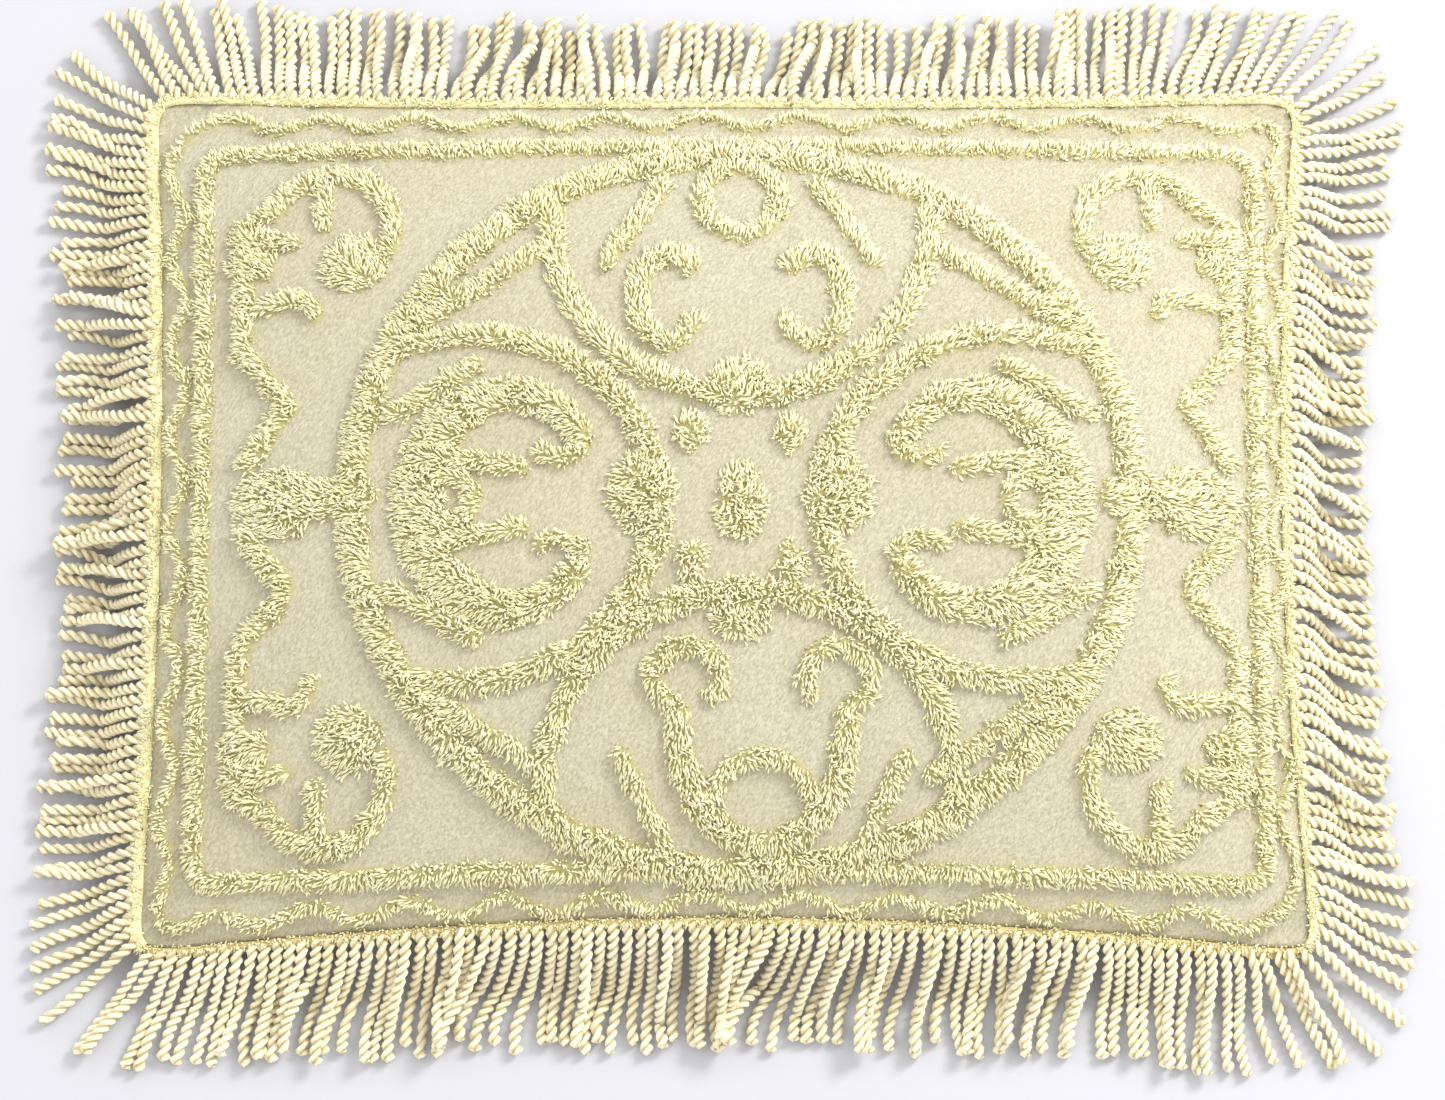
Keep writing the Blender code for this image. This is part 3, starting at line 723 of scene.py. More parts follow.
def pointed(centres, across, upward, outline, tones):
    """The same, with each tube's last section drawn together into one point."""
    tubes, sections = centres.shape[:2]
    vertices, polygons, shades = sweep(
        centres[:, :-1], across[:, :-1], upward[:, :-1], outline[:, :-1], tones[:, :-1]
    )
    around = outline.shape[2]
    tip = len(vertices) + np.arange(tubes)
    rim = np.arange(len(vertices)).reshape(tubes, sections - 1, around)[:, -1]
    cones = np.stack((rim, np.roll(rim, -1, axis=1), np.repeat(tip[:, None], around, axis=1)), axis=-1)
    walls, caps = polygons[0], polygons[1][:tubes]
    vertices = np.concatenate((vertices, centres[:, -1]))
    shades = np.concatenate((shades, tones[:, -1, 0]))
    return vertices, [walls, np.concatenate((caps, cones.reshape(-1, 3)))], shades


def finish_piece(piece, slot_name, *nodes):
    """Makes a piece ride on the sham, and hides the solids that it stands for. slot_name is not used."""
    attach(piece, "root")
    if nodes:
        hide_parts(*nodes)


class Nodes:
    """Short calls to build a node tree."""

    def __init__(self, tree):
        self.tree = tree

    def fill(self, node, inputs):
        """Gives inputs of a node their constants, or the sockets to link from."""
        for name, value in inputs.items():
            if isinstance(value, bpy.types.NodeSocket):
                self.tree.links.new(value, node.inputs[name])
            else:
                node.inputs[name].default_value = value
        return node

    def add(self, kind, inputs=None, **values):
        """Adds a node with its inputs and its other settings."""
        node = self.tree.nodes.new(kind)
        for name, value in values.items():
            setattr(node, name, value)
        return self.fill(node, inputs or {})

    def math(self, operation, first, second):
        """A maths node's output."""
        return self.add("ShaderNodeMath", {0: first, 1: second}, operation=operation).outputs[0]

    def noise(self, place, scale, roughness=0.5, distortion=0.0, detail=3.0):
        """A noise texture's value at a place."""
        names = ("Vector", "Scale", "Detail", "Roughness", "Distortion")
        inputs = dict(zip(names, (place, scale, detail, roughness, distortion)))
        return self.add("ShaderNodeTexNoise", inputs).outputs["Fac"]

    def mix(self, share, first, second, blend="MIX"):
        """A mix of two colours."""
        inputs = {0: share, 6: first, 7: second}
        return self.add("ShaderNodeMix", inputs, data_type="RGBA", blend_type=blend).outputs[2]

    def between(self, value, low, high, to_low=0.0, to_high=1.0):
        """A value moved from one range to another, and kept in it."""
        inputs = {0: value, 1: low, 2: high, 3: to_low, 4: to_high}
        return self.add("ShaderNodeMapRange", inputs).outputs[0]

    def group(self, tree, inputs):
        """The outputs of a node group that is given its own values."""
        return self.add("ShaderNodeGroup", inputs, node_tree=tree).outputs

    def tone(self):
        """The tone that a mesh carries at its points."""
        return self.add("ShaderNodeAttribute", attribute_name="tone").outputs["Fac"]

    def bump(self, height, strength, distance):
        """Normals from a height."""
        inputs = {"Height": height, "Strength": strength, "Distance": distance}
        return self.add("ShaderNodeBump", inputs).outputs[0]


def shared_group(name, inputs, outputs, build):
    """A shader node group, made once. inputs has its sockets' values, outputs their kinds, and
    build() adds the nodes and gives what goes to each output."""
    group = bpy.data.node_groups.get(name)
    if group:
        return group
    group = bpy.data.node_groups.new(name, "ShaderNodeTree")
    for label, value in inputs.items():
        kind = SOCKET_KINDS[np.size(value)]
        group.interface.new_socket(name=label, in_out="INPUT", socket_type=kind).default_value = value
    for label, size in outputs.items():
        group.interface.new_socket(name=label, in_out="OUTPUT", socket_type=SOCKET_KINDS[size])
    nodes = Nodes(group)
    results = build(nodes, nodes.add("NodeGroupInput").outputs)
    nodes.fill(nodes.add("NodeGroupOutput"), results)
    return group


def fibre_group():
    """Loose cotton fibre: a fine height and a slow change of shade."""

    def build(nodes, source):
        height = nodes.noise(source["Place"], source["Fibre Scale"], 0.6, 0.4)
        patch = nodes.noise(source["Place"], source["Patch Scale"])
        return {"Height": height, "Patch": nodes.between(patch, 0.3, 0.7)}

    inputs = {"Place": ORIGIN, "Fibre Scale": 2600.0, "Patch Scale": 14.0}
    return shared_group("cotton fibre", inputs, {"Height": 1, "Patch": 1}, build)


def yarn_group():
    """Colour of yarn from its tone: painted shade deep in the pile or in a cord's grooves, then its sides
    and its tips.
    """

    def build(nodes, source):
        low = nodes.between(source["Tone"], 0.0, source["Turn"])
        high = nodes.between(source["Tone"], source["Turn"], 1.0)
        deep = nodes.mix(low, source["Root"], source["Middle"])
        colour = nodes.mix(high, deep, source["Tip"])
        aged = nodes.mix(1.0, colour, AGED_YARN, "MULTIPLY")
        return {"Colour": nodes.mix(source["Patch"], aged, colour)}

    inputs = {"Tone": 0.5, "Patch": 0.5, "Root": WHITE, "Middle": WHITE, "Tip": WHITE, "Turn": 0.4}
    return shared_group("yarn colour", inputs, {"Colour": 4}, build)


def crinkle_group():
    """Crinkled plain weave: threads both ways, thrown into fine slanting creases."""

    def build(nodes, source):
        tilted = nodes.add("ShaderNodeMapping", {"Vector": source["Place"], "Rotation": CREASE_TURN})
        stretched = nodes.add("ShaderNodeMapping", {"Vector": tilted.outputs[0], "Scale": CREASE_STRETCH})
        crease = nodes.noise(stretched.outputs[0], source["Crease Scale"], 0.55, 0.5, detail=2.0)
        inputs = {"Vector": source["Place"], "Scale": source["Thread Scale"], "Distortion": 1.2}
        threads = [nodes.add("ShaderNodeTexWave", inputs, bands_direction=way) for way in ("X", "Y")]
        weave = nodes.math("MAXIMUM", *[thread.outputs["Fac"] for thread in threads])
        height = nodes.math("ADD", nodes.math("MULTIPLY", weave, 0.22), crease)
        # The Crease output sets the painted shade in the creases
        return {"Height": height, "Crease": nodes.between(crease, 0.32, 0.66)}

    inputs = {"Place": ORIGIN, "Thread Scale": 620.0, "Crease Scale": 800.0}
    return shared_group("crinkled weave", inputs, {"Height": 1, "Crease": 1}, build)


def new_material(name):
    """A material with short calls for its nodes, its shader, and the place on its piece."""
    material = bpy.data.materials.new(name)
    material.use_nodes = True
    nodes = Nodes(material.node_tree)
    shader = material.node_tree.nodes["Principled BSDF"]
    return material, nodes, shader, nodes.add("ShaderNodeTexCoord").outputs["Object"]


def opaque(colour):
    """A colour property with its alpha."""
    return (*colour, 1.0)


def cloth_material(colours):
    """The crinkled ground cloth, with painted shade under the pile, along the seam and in its creases."""
    material, nodes, shader, place = new_material("crinkled cotton")
    weave = nodes.group(crinkle_group(), {"Place": place})
    fibre = nodes.group(fibre_group(), {"Place": place, "Patch Scale": 9.0})
    # Painted shade in the creases: the crease noise mixes in the cloth_shade colour where the cloth dips
    light = nodes.between(weave["Crease"], 0.0, 1.0, 0.15, 1.0)
    colour = nodes.mix(light, opaque(colours.cloth_shade), opaque(colours.cloth))
    colour = nodes.mix(1.0, colour, nodes.mix(fibre["Patch"], AGED_CLOTH, WHITE), "MULTIPLY")
    # Painted shade: the tone mark mixes in the tuft root colour under the pile and along the seam
    painted_shade_share = nodes.between(nodes.tone(), 0.0, 1.0, 0.0, 0.8)
    height = nodes.math("ADD", weave["Height"], nodes.math("MULTIPLY", fibre["Height"], 0.2))
    inputs = {
        "Base Color": nodes.mix(painted_shade_share, colour, opaque(colours.tuft_root_and_shade)),
        "Roughness": 0.92,
        "Specular IOR Level": 0.18,
        "Sheen Weight": 0.12,
        "Sheen Roughness": 0.6,
        "Normal": nodes.bump(height, 1.0, 0.0011),
    }
    nodes.fill(shader, inputs)
    return material


def yarn_material(name, root, middle, tip, turn, patch_scale):
    """Soft cotton yarn, coloured by the tone that its mesh carries."""
    material, nodes, shader, place = new_material(name)
    fibre = nodes.group(fibre_group(), {"Place": place, "Patch Scale": patch_scale})
    values = {"Tone": nodes.tone(), "Patch": fibre["Patch"], "Turn": turn}
    values |= {"Root": opaque(root), "Middle": opaque(middle), "Tip": opaque(tip)}
    inputs = {
        "Base Color": nodes.group(yarn_group(), values)["Colour"],
        "Roughness": 0.85,
        "Specular IOR Level": 0.22,
        "Sheen Weight": 0.15,
        "Sheen Roughness": 0.5,
        "Normal": nodes.bump(fibre["Height"], 0.5, 0.0004),
    }
    nodes.fill(shader, inputs)
    return material


def floor_material(colours):
    """A plain pale matt floor."""
    material, nodes, shader, place = new_material("pale floor")
    fibre = nodes.group(fibre_group(), {"Place": place, "Fibre Scale": 40.0, "Patch Scale": 1.5})
    rough = nodes.between(fibre["Height"], 0.0, 1.0, 0.62, 0.72)
    inputs = {"Base Color": opaque(colours.floor), "Roughness": rough, "Specular IOR Level": 0.2}
    nodes.fill(shader, inputs)
    return material


def cover_mesh(settings):
    """The closed cover before it is filled out: a grid for the front, one for the back, one seam."""
    columns = round(2 * HALF_WIDTH / settings.cell) + 1
    rows = round(2 * HALF_DEPTH / settings.cell) + 1
    v, u = np.meshgrid(np.linspace(-1, 1, rows), np.linspace(-1, 1, columns), indexing="ij")
    plan = plan_from_panel(*rounded_corners(u, v)).reshape(-1, 2)
    edge = (np.maximum(np.abs(u), np.abs(v)) > ON_EDGE).ravel()
    room = np.where(edge, 0.0, settings.room)
    front = np.column_stack((plan, np.where(edge, seam_height(plan), cloth_height(plan) - room)))
    back = np.column_stack((plan, under_height(plan)))[~edge]
    number = np.arange(rows * columns)
    back_number = number.copy()
    back_number[~edge] = len(front) + np.arange(len(back))
    faces = []
    for numbers, order in ((number, (0, 1, 2, 3)), (back_number, (0, 3, 2, 1))):
        grid = numbers.reshape(rows, columns)
        corners = (grid[:-1, :-1], grid[:-1, 1:], grid[1:, 1:], grid[1:, :-1])
        faces.append(np.stack([corners[turn] for turn in order], axis=-1).reshape(-1, 4))
    return np.concatenate((front, back)), np.concatenate(faces), np.nonzero(edge)[0]


def fill_out(piece, seam, settings):
    """Swells the cover with Blender's cloth, its seam and its flat patch held, and keeps the result."""
    start = vertex_values(piece.data, "co")
    held = piece.vertex_groups.new(name="held")
    resting = np.nonzero(start[:, 2] <= RESTING)[0]
    held.add([int(number) for number in np.concatenate((seam, resting))], 1.0, "REPLACE")
    cloth = piece.modifiers.new("filling", "CLOTH")
    chosen = CLOTH_SETTINGS | {"uniform_pressure_force": settings.pressure}
    for name, value in chosen.items():
        setattr(cloth.settings, name, value)
    cloth.settings.shrink_min = cloth.settings.shrink_max = -settings.slack
    cloth.settings.effector_weights.gravity = 0.0
    cloth.point_cache.frame_start = 1
    cloth.point_cache.frame_end = settings.frames
    scene = bpy.context.scene
    for number in range(1, settings.frames + 1):
        scene.frame_set(number)
    settled = piece.evaluated_get(bpy.context.evaluated_depsgraph_get()).to_mesh()
    moved = vertex_values(settled, "co") - start
    far = np.linalg.norm(moved, axis=1, keepdims=True)
    moved *= np.minimum(1.0, settings.most_moved / np.maximum(far, TINY))
    kept = start + moved
    kept[:, 2] = np.maximum(kept[:, 2], 0.0)
    piece.modifiers.remove(cloth)
    piece.vertex_groups.remove(held)
    scene.frame_set(1)
    move_vertices(piece.data, kept)


def crease_seam(piece, seam):
    """Keeps the seam sharp when the cover is subdivided."""
    mesh = piece.data
    ends = np.zeros(len(mesh.edges) * 2, np.int32)
    mesh.edges.foreach_get("vertices", ends)
    on_seam = np.isin(ends.reshape(-1, 2), seam).all(axis=1)
    mark(mesh, "crease_edge", "EDGE", on_seam)


def keep_modifiers(piece):
    """Puts the mesh that the modifiers make in place of the plain one."""
    made = bpy.data.meshes.new_from_object(piece.evaluated_get(bpy.context.evaluated_depsgraph_get()))
    piece.modifiers.clear()
    old, piece.data = piece.data, made
    bpy.data.meshes.remove(old)
    made.name = piece.name


def downhill(points):
    """How the pile lies over at plan points: away from the middle, and more so near the sides."""
    u, v = panel_from_plan(points - np.array(MEDALLION_MIDDLE))
    far = np.maximum(np.abs(u), np.abs(v))
    away = np.column_stack((u * np.abs(u) ** LAY_SHAPE, v * np.abs(v) ** LAY_SHAPE))
    return unit(away) * np.clip(far * LAY_RISE, 0, 1)[:, None]


def raise_pile(piece, base, lay):
    """Lifts the cloth where the pile is close, and marks it and the seam with the tone of the material's
    painted shade.
    """
    mesh = piece.data
    points, normals = vertex_values(mesh, "co"), vertex_values(mesh, "normal")
    tufting = Tufting(points[:, :2] + downhill(points[:, :2]) * lay)
    above = normals[:, 2] > FACING_UP
    full = np.clip(1 - tufting.share**2, 0, 1) * above
    u, v = panel_from_plan(points[:, :2])
    seam = np.clip((np.maximum(np.abs(u), np.abs(v)) - SEAM_LINE) / (1 - SEAM_LINE), 0, 1) * above
    move_vertices(mesh, points + normals * (base * full)[:, None])
    # The tone mark is painted shade, under the pile and along the seam
    mark(mesh, "tone", "POINT", np.maximum(np.clip(full * PILE_SHADE_MARK, 0, 1), seam))


def curled_ends(roots, normals, ways, sizes, shades, thickness, rng):
    """Short curled yarn ends on a surface, as sweep() gives them. ways are how they lie over, where a
    length of one is 45 degrees, and shades is how light each end is, from 0 to 1."""
    count = len(roots)
    size = sizes * rng.uniform(*END_SIZES, count)
    ways = ways - normals * (ways * normals).sum(axis=1, keepdims=True)
    curl = rng.normal(0, END_CURL, (count, 3))
    first = unit(normals + ways * END_LEAN)
    second = unit(normals * END_RISE + ways + curl)
    second += normals * np.maximum(END_LEAST_RISE - (second * normals).sum(axis=1, keepdims=True), 0)
    second = unit(second)
    low = roots - normals * END_ROOT
    middle = low + first * (size * END_BEND)[:, None]
    tip = middle + second * (size * (1 - END_BEND))[:, None]
    centres = np.stack((low, middle, tip), axis=1)
    along = np.stack((first, unit(first + second), second), axis=1)
    across = unit(np.cross(along, unit(rng.normal(size=(count, 1, 3)))))
    upward = np.cross(along, across)
    radii = thickness * rng.uniform(*END_THICKNESSES, (count, 1)) * np.array(END_TAPER)
    outline = radii[:, :, None, None] * circle(END_SIDES)
    own = rng.uniform(-END_TONE, END_TONE, (count, 1, 1))
    tones = np.clip(np.array(YARN_TONES)[None, :, None] + own, 0, 1) * shades[:, None, None]
    tones = np.broadcast_to(tones, (count, len(END_TAPER), END_SIDES))
    return pointed(centres, across, upward, outline, tones)


def surface_below(piece, points):
    """Places and normals on a piece's upper surface at plan points, and which points have one."""
    mesh = piece.data
    corners = [vertex.co for vertex in mesh.vertices]
    tree = BVHTree.FromPolygons(corners, [tuple(face.vertices) for face in mesh.polygons])
    down = Vector((0.0, 0.0, -1.0))
    hits = [tree.ray_cast(Vector((x, y, 1.0)), down) for x, y in points]
    found = np.array([hit[0] is not None for hit in hits])
    places = np.array([hit[0] for hit in hits if hit[0] is not None])
    normals = np.array([hit[1] for hit in hits if hit[0] is not None])
    return places, normals, found


def tuft_points(settings, rng):
    """A jittered grid of plan points, those that lie in the pattern, with where they lie in it."""
    step = settings.spacing
    x = np.arange(-HALF_WIDTH, HALF_WIDTH, step)
    y = np.arange(-HALF_DEPTH, HALF_DEPTH, step)
    points = np.stack(np.meshgrid(x, y, indexing="ij"), axis=-1).reshape(-1, 2)
    points += rng.uniform(-JITTER, JITTER, points.shape) * step
    tufting = Tufting(points + downhill(points) * settings.lay)
    uneven = settings.unevenness * waves(points, RIM_WAVES, rng)
    edge = settings.spread + uneven + rng.uniform(-RIM_JITTER, RIM_JITTER, len(points))
    kept = tufting.depth > edge
    rim = 1 - np.clip((tufting.depth - edge) / STITCHED_RIM, 0, 1)
    inner = np.clip(-(tufting.outward * downhill(points)).sum(axis=1) * 2, 0, 1)
    share = np.clip(tufting.share, 0, 1)
    measures = (points, share, tufting.half_width, rim * inner, tufting.outward, tufting.zone)
    return [values[kept] for values in measures]


def make_tufts(cover, settings, material):
    """The chenille pile, a joined piece for each zone of the pattern."""
    rng = np.random.default_rng(SEED_TUFTS)
    points, *measures = tuft_points(settings, rng)
    places, normals, found = surface_below(cover, points)
    share, half_width, stitched, outward, zone = (values[found] for values in measures)
    plan = places[:, :2]
    combed = np.column_stack([waves(plan, COMBING, rng) for _ in (0, 1)])
    ways = downhill(plan) * LIE_DOWNHILL + combed * LIE_COMBED
    ways += outward * (LIE_OUTWARD * share**LIE_OUTWARD_SHAPE)[:, None]
    ways = np.column_stack((ways + rng.normal(0, LIE_UNEVEN, plan.shape), np.zeros(len(plan))))
    wide = np.clip(half_width / FULL_HALF_WIDTH, 0, 1)
    sizes = settings.length * (SHORTEST + (1 - SHORTEST) * wide) * (1 - RIM_SHORTER * share**2)
    sizes *= 1 - (1 - STITCH_LENGTH) * stitched
    # Painted shade: the ends at the stitched inner rim take the darkest tone
    shades = 1 - (1 - RIM_ROOT_SHADE) * stitched
    for number, name in enumerate(ZONES):
        own = zone == number
        ends = (places[own], normals[own], ways[own], sizes[own], shades[own])
        shapes = curled_ends(*ends, settings.thickness, rng)
        piece = new_piece(f"tufts_{name}", shapes[0], shapes[1], material, shapes[2])
        finish_piece(piece, "chenille_tufts")


class SeamSide:
    """One side of the seam, and the paths beside it that its fringe follows."""

    def __init__(self, side):
        edge = square_edge(side.middle - HALF_SIDE, side.middle + HALF_SIDE)
        self.seam = plan_from_panel(*edge)
        self.outward = path_normals(self.seam)
        self.run = lengths(self.seam)
        self.length = self.run[-1]

    def points(self, places, offset, lift):
        """Points at distances along the seam, moved outward in the plan and lifted."""
        seam = read_path(self.seam, places)
        outward = np.stack([np.interp(places, self.run, self.outward[:, axis]) for axis in (0, 1)], axis=-1)
        return np.column_stack((seam + unit(outward) * offset, seam_height(seam) + lift))


def smooth_step(values):
    """Values from 0 to 1 that start and stop gently."""
    values = np.clip(values, 0, 1)
    return values**2 * (3 - 2 * values)


def cord_paths(side, settings, rng):
    """Centre lines of one side's cords, cords by sections by 3."""
    beside = SeamSide(side)
    count = side.cords
    share = (np.arange(count) + 0.5 + rng.uniform(-CORD_JITTER, CORD_JITTER, count)) / count
    along = 2 * share - 1
    roots = beside.points(share * beside.length, ROOT_OFFSET, ROOT_LIFT)
    fan = FAN_ANGLE * np.sign(along) * np.abs(along) ** FAN_SHAPE
    heading = np.radians(side.middle + fan + rng.normal(0, CORD_TURN, count))
    ahead = np.column_stack((np.cos(heading), np.sin(heading)))
    aside = np.column_stack((-ahead[:, 1], ahead[:, 0]))
    reach = side.reach + (REACH_CORNER - side.reach) * np.abs(along) ** REACH_SHAPE
    reach += settings.uneven * rng.uniform(-1, 1, count) - ROOT_OFFSET
    sway = np.zeros(count)
    for period in LEAN_PERIODS:
        sway += np.sin(2 * math.pi * np.arange(count) / period + rng.uniform(0, 2 * math.pi))
    sway *= settings.sway * side.sway / len(LEAN_PERIODS)
    lean = (sway + side.lean) * (1 - np.abs(along) ** LEAN_SHAPE) + rng.normal(0, LEAN_UNEVEN, count)

    step = np.linspace(0, 1, settings.sections)[None, :]
    forward = reach[:, None] * step
    wobble = rng.normal(0, WOBBLE, (count, 1))
    wobbles = step * rng.uniform(*WOBBLES, (count, 1)) + rng.uniform(0, 1, (count, 1))
    wobble = wobble * np.sin(2 * math.pi * wobbles)
    bowed = smooth_step((step - BOW_START) / BOW_LENGTH)
    sideways = lean[:, None] * bowed + wobble * step
    plan = roots[:, None, :2] + ahead[:, None] * forward[..., None] + aside[:, None] * sideways[..., None]
    fall = 1 - smooth_step(np.clip(step / LANDING, 0, 1) ** FALL_SHAPE)
    lying = settings.ply * LYING_PLIES
    height = lying + (roots[:, 2:] - lying) * fall
    return stacked(np.concatenate((plan, height[..., None]), axis=2), settings.ply, rng)


def stacked(centres, ply, rng):
    """Cord paths, cords by sections by 3, raised where they cross cords that were laid before them."""
    thick = CROSSING_PLIES * ply
    count, sections = centres.shape[:2]
    spacing = np.linalg.norm(centres[:, 1] - centres[:, 0], axis=1).mean()
    apart = (np.arange(sections)[:, None] - np.arange(sections)) * spacing
    settling = apart**2 / (2 * RISE_RADIUS_PLIES * ply)
    laid = np.zeros(count, bool)
    for number in rng.permutation(count):
        path = centres[number]
        near = slice(max(0, number - NEIGHBOURS), number + NEIGHBOURS + 1)
        below = centres[near][laid[near]].reshape(-1, 3)
        laid[number] = True
        if not len(below):
            continue
        gap = np.linalg.norm(path[:, None, :2] - below[None, :, :2], axis=2)
        on_top = below[:, 2] + np.sqrt(np.maximum(thick**2 - gap**2, 0))
        needed = np.where(gap < thick, on_top, 0).max(axis=1)
        needed = np.minimum(needed, path[:, 2] + MOST_LAYERS_PLIES * ply)
        raised = (needed[None, :] - settling).max(axis=1)
        path[1:, 2] = np.maximum(path[1:, 2], raised[1:])
    return centres


def twisted_cords(centres, settings, rng):
    """Two-ply cords along centre lines, as sweep() gives them. A knob closes each end."""
    count = len(centres)
    across, upward = cross_ways(centres)
    steps = np.linalg.norm(np.diff(centres, axis=1), axis=2)
    run = np.concatenate((np.zeros((count, 1)), np.cumsum(steps, axis=1)), axis=1)
    turn = 2 * math.pi * run / (settings.twist * rng.uniform(*TWISTS, (count, 1)))
    turn += rng.uniform(0, 2 * math.pi, (count, 1))
    loosened = run / LOOSE_EVERY + rng.uniform(0, 1, (count, 1))
    turn += rng.normal(0, LOOSE_TURN, (count, 1)) * np.sin(2 * math.pi * loosened)
    half_turn = np.radians([point.angle for point in CORD_SECTION])
    angle = np.concatenate((half_turn, half_turn + math.pi))
    radius = settings.ply * np.tile([point.radius for point in CORD_SECTION], 2)
    # The tone round the section paints shade into the grooves between the plies
    tone = np.tile([point.tone for point in CORD_SECTION], 2)
    left = run[:, -1:] - run
    size = 1.0 + KNOB * np.exp(-(((left - KNOB_AT) / KNOB_LENGTH) ** 2))
    size *= np.sqrt(np.clip(left / KNOB_LENGTH, KNOB_TIP, 1.0)) * rng.uniform(*CORD_SIZES, (count, 1))
    spun = turn[..., None] + angle
    outline = np.stack((np.cos(spun), np.sin(spun)), axis=-1) * (radius * size[..., None])[..., None]
    own = rng.uniform(-CORD_TONE, CORD_TONE, (count, 1, 1))
    # Painted shade on the cords' start by the heading
    painted_root_shade = SHADED * np.exp(-run / SHADED_LENGTH)[..., None]
    tones = np.clip(tone + own - painted_root_shade, 0, 1)
    return sweep(centres, across, upward, outline, tones)


def heading_band(side):
    """The narrow woven heading along one side of the seam, as sweep() gives it."""
    beside = SeamSide(side)
    places = np.linspace(HEADING_GAP, beside.length - HEADING_GAP, round(beside.length / HEADING_STEP))
    centres = beside.points(places, HEADING_OFFSET, 0.0)[None]
    section = circle(HEADING_POINTS) * np.array((side.heading, HEADING_HEIGHT))
    outline = np.broadcast_to(section, (1, len(places), *section.shape))
    return sweep(centres, *cross_ways(centres), outline, np.zeros(outline.shape[:3]))


def heading_ends(side, settings, rng):
    """Short yarn ends that stand out of the heading, as sweep() gives them."""
    beside = SeamSide(side)
    count = round(settings.heading_ends * beside.length)
    places = rng.uniform(0, beside.length, count)
    angle = np.radians(rng.uniform(*HEADING_ANGLES, count))
    centres = beside.points(places, HEADING_OFFSET, 0.0)
    outer = beside.points(places, HEADING_OFFSET + 0.001, 0.0)
    outward = unit((outer - centres) * np.array((1.0, 1.0, 0.0)))
    normals = unit(outward * np.cos(angle)[:, None] + UP * np.sin(angle)[:, None])
    offset = outward * (np.cos(angle) * side.heading / 2)[:, None]
    offset = offset + UP * (np.sin(angle) * HEADING_HEIGHT / 2)[:, None]
    ways = outward * HEADING_LIE + rng.normal(0, HEADING_UNEVEN, (count, 3))
    sizes = HEADING_END * rng.uniform(*HEADING_SIZES, count)
    shades = rng.uniform(*HEADING_SHADES, count)
    return curled_ends(centres + offset, normals, ways, sizes, shades, HEADING_YARN, rng)


def join_shapes(*shapes):
    """Several swept shapes as one."""
    vertices, polygons, tones, past = [], [], [], 0
    for points, groups, shades in shapes:
        vertices.append(points)
        polygons += [group + past for group in groups]
        tones.append(shades)
        past += len(points)
    return np.concatenate(vertices), polygons, np.concatenate(tones)


def make_fringe(name, side, settings, colours, seed):
    """One side's cords, and the heading that they hang from."""
    rng = np.random.default_rng(seed)
    vertices, polygons, tones = twisted_cords(cord_paths(side, settings, rng), settings, rng)
    cords = new_piece(f"cords_{name}", vertices, polygons, colours["cord"], tones)
    finish_piece(cords, "fringe_cotton", f"fringe_{name}")
    vertices, polygons, tones = join_shapes(heading_band(side), heading_ends(side, settings, rng))
    tones = side.paleness + (1 - side.paleness) * tones
    heading = new_piece(f"heading_{name}", vertices, polygons, colours["heading"], tones)
    finish_piece(heading, "fringe_cotton")


class SHAM_OT_cushion(bpy.types.Operator):
    """Make the filled cushion of crinkled cotton"""

    bl_idname = "sham.make_cushion"
    bl_label = "Make Cushion"

    def execute(self, context):
        settings, tufts = context.scene.sham_cover, context.scene.sham_tufts
        vertices, faces, seam = cover_mesh(settings)
        material = cloth_material(context.scene.sham_colours)
        cushion = new_piece("cushion_cover", vertices, [faces], material)
        fill_out(cushion, seam, settings)
        crease_seam(cushion, seam)
        subdivision = cushion.modifiers.new("finer cloth", "SUBSURF")
        subdivision.levels = 1
        subdivision.render_levels = 1
        keep_modifiers(cushion)
        raise_pile(cushion, tufts.base, tufts.lay)
        finish_piece(cushion, "sham_cloth", "cushion")
        return {"FINISHED"}


class SHAM_OT_tufts(bpy.types.Operator):
    """Make the chenille tufts on the cushion's face"""

    bl_idname = "sham.make_tufts"
    bl_label = "Make Tufts"

    def execute(self, context):
        cushion = bpy.data.objects.get("cushion_cover")
        if cushion is None:
            raise RuntimeError("make the cushion before its tufts")
        colours = context.scene.sham_colours
        material = yarn_material(
            "chenille yarn", colours.tuft_root_and_shade, colours.tuft_middle, colours.tuft_tip, 0.4, 22.0
        )
        make_tufts(cushion, context.scene.sham_tufts, material)
        return {"FINISHED"}


class SHAM_OT_fringe(bpy.types.Operator):
    """Make the twisted cords and their headings on the four sides"""

    bl_idname = "sham.make_fringe"
    bl_label = "Make Fringe"

    def execute(self, context):
        colours = context.scene.sham_colours
        shades = (colours.cord_shade, colours.cord_middle, colours.cord_tip)
        materials = {
            "cord": yarn_material("twisted cotton cord", *shades, 0.5, 35.0),
            "heading": yarn_material(
                "heading yarn", colours.heading, colours.tuft_middle, colours.tuft_tip, 0.5, 35.0
            ),
        }
        for number, (name, side) in enumerate(SIDES.items()):
            make_fringe(name, side, context.scene.sham_fringe, materials, SEED_FRINGE + number)
        return {"FINISHED"}


def place_aimed(name, data, place, way):
    """A light or camera at a place, turned to look one way."""
    thing = bpy.data.objects.new(name, data)
    thing.location = place
    thing.rotation_euler = way.to_track_quat("-Z", "Y").to_euler()
    bpy.context.scene.collection.objects.link(thing)
    return thing


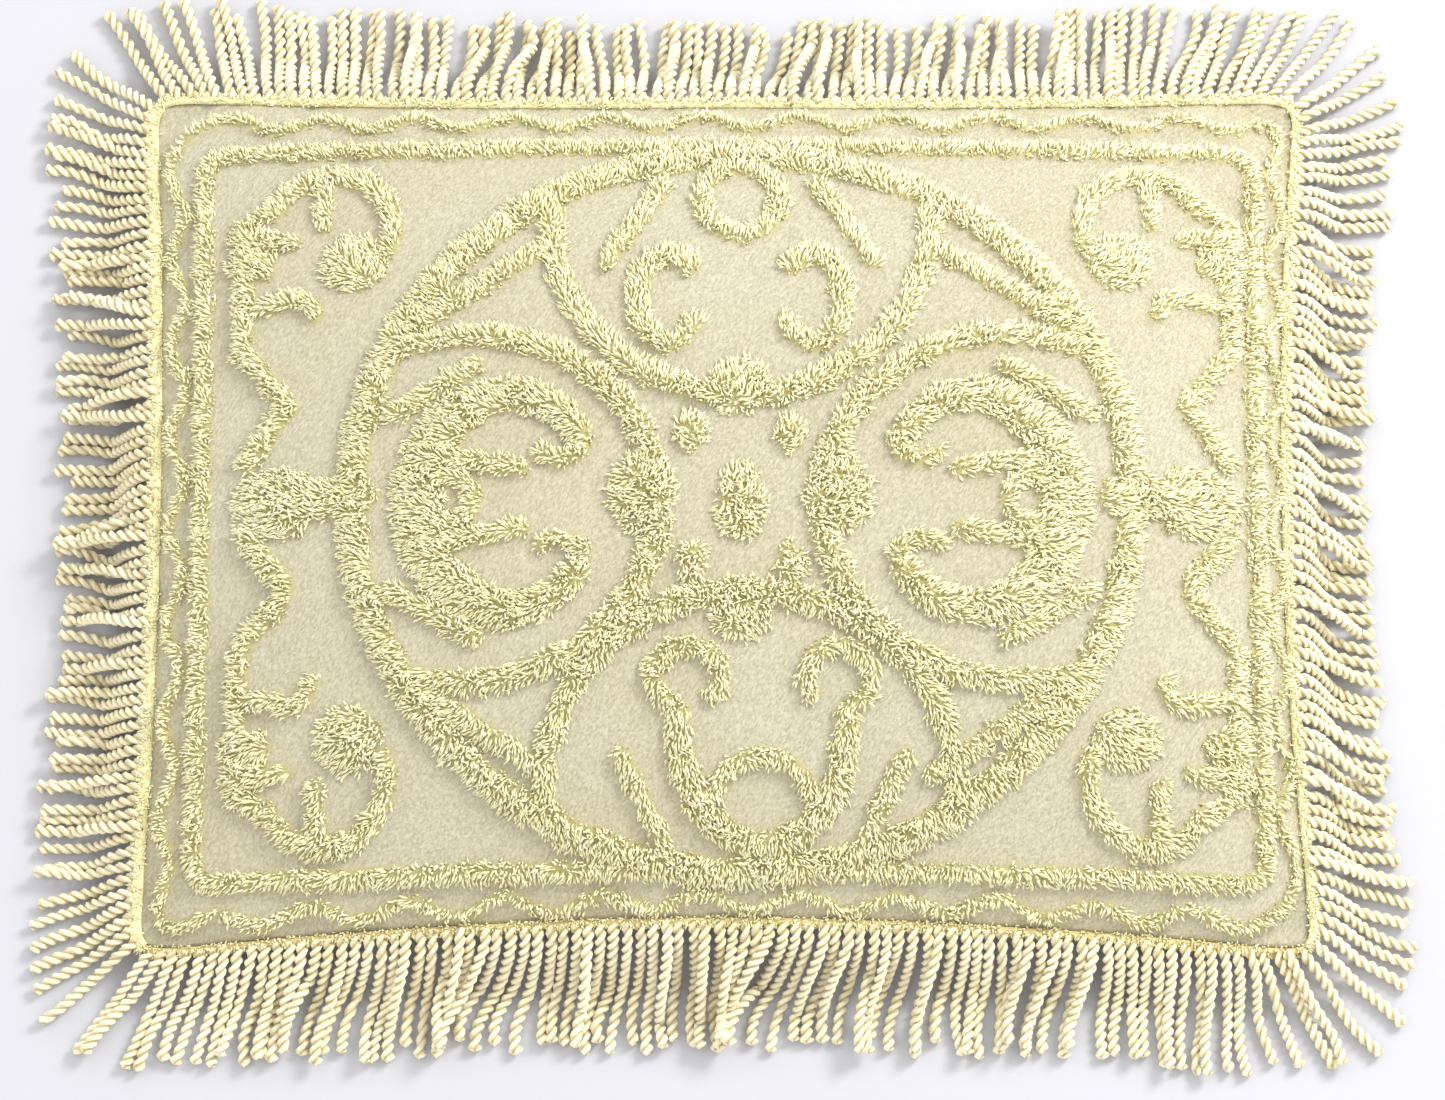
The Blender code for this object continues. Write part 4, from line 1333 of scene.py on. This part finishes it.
class SHAM_OT_stage(bpy.types.Operator):
    """Make the floor, the lights and the camera"""

    bl_idname = "sham.make_stage"
    bl_label = "Make Stage"

    def execute(self, context):
        scene = context.scene
        settings, colours = scene.sham_stage, scene.sham_colours
        corners = np.array([(-1, -1, 0), (1, -1, 0), (1, 1, 0), (-1, 1, 0)]) * FLOOR_SIZE / 2
        floor = new_piece("floor", corners, [np.array([[0, 1, 2, 3]])], floor_material(colours))
        floor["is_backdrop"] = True
        light = bpy.data.lights.new("key light", "AREA")
        light.energy = settings.key_power
        light.size = KEY_LIGHT_SIZE
        light.color = KEY_LIGHT_COLOUR
        place_aimed("key light", light, KEY_LIGHT_AT, -Vector(KEY_LIGHT_AT))
        world = bpy.data.worlds.new("pale surroundings")
        world.use_nodes = True
        background = world.node_tree.nodes["Background"]
        background.inputs["Color"].default_value = SKY_COLOUR
        background.inputs["Strength"].default_value = settings.sky
        scene.world = world
        scene.view_settings.view_transform = "Standard"
        away = Vector((0.0, -math.cos(settings.elevation), math.sin(settings.elevation)))
        place = Vector(CAMERA_TARGET) + away * settings.distance
        scene.camera = place_aimed("camera", bpy.data.cameras.new("camera"), place, -away)
        scene.camera.data.lens = settings.lens
        return {"FINISHED"}


class SHAM_PT_panel(bpy.types.Panel):
    """Sizes, colours and makers of the sham"""

    bl_idname = "SHAM_PT_panel"
    bl_label = "Chenille Pillow Sham"
    bl_space_type = "VIEW_3D"
    bl_region_type = "UI"
    bl_category = "Sham"

    def draw(self, context):
        for label, (name, _) in SETTINGS.items():
            box = self.layout.box()
            box.label(text=label)
            group = getattr(context.scene, name)
            for field in group.__annotations__:
                box.prop(group, field)
        for operator in OPERATORS:
            self.layout.operator(operator.bl_idname)


SETTINGS = {
    "Cover": ("sham_cover", CoverSettings),
    "Tufts": ("sham_tufts", TuftSettings),
    "Fringe": ("sham_fringe", FringeSettings),
    "Colours": ("sham_colours", ColourSettings),
    "Stage": ("sham_stage", StageSettings),
}
OPERATORS = (SHAM_OT_stage, SHAM_OT_cushion, SHAM_OT_tufts, SHAM_OT_fringe)


def register():
    for name, group in SETTINGS.values():
        bpy.utils.register_class(group)
        setattr(bpy.types.Scene, name, PointerProperty(type=group))
    for operator in OPERATORS:
        bpy.utils.register_class(operator)
    bpy.utils.register_class(SHAM_PT_panel)


def unregister():
    bpy.utils.unregister_class(SHAM_PT_panel)
    for operator in reversed(OPERATORS):
        bpy.utils.unregister_class(operator)
    for name, group in reversed(SETTINGS.values()):
        delattr(bpy.types.Scene, name)
        bpy.utils.unregister_class(group)


def main():
    register()
    bpy.ops.sham.make_stage()
    bpy.ops.sham.make_cushion()
    bpy.ops.sham.make_tufts()
    bpy.ops.sham.make_fringe()
    boxes = {"solids": SOLID_BOX, "visual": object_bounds()}
    {name: [list(corner) for corner in box] for name, box in boxes.items()}


if __name__ == "__main__":
    main()
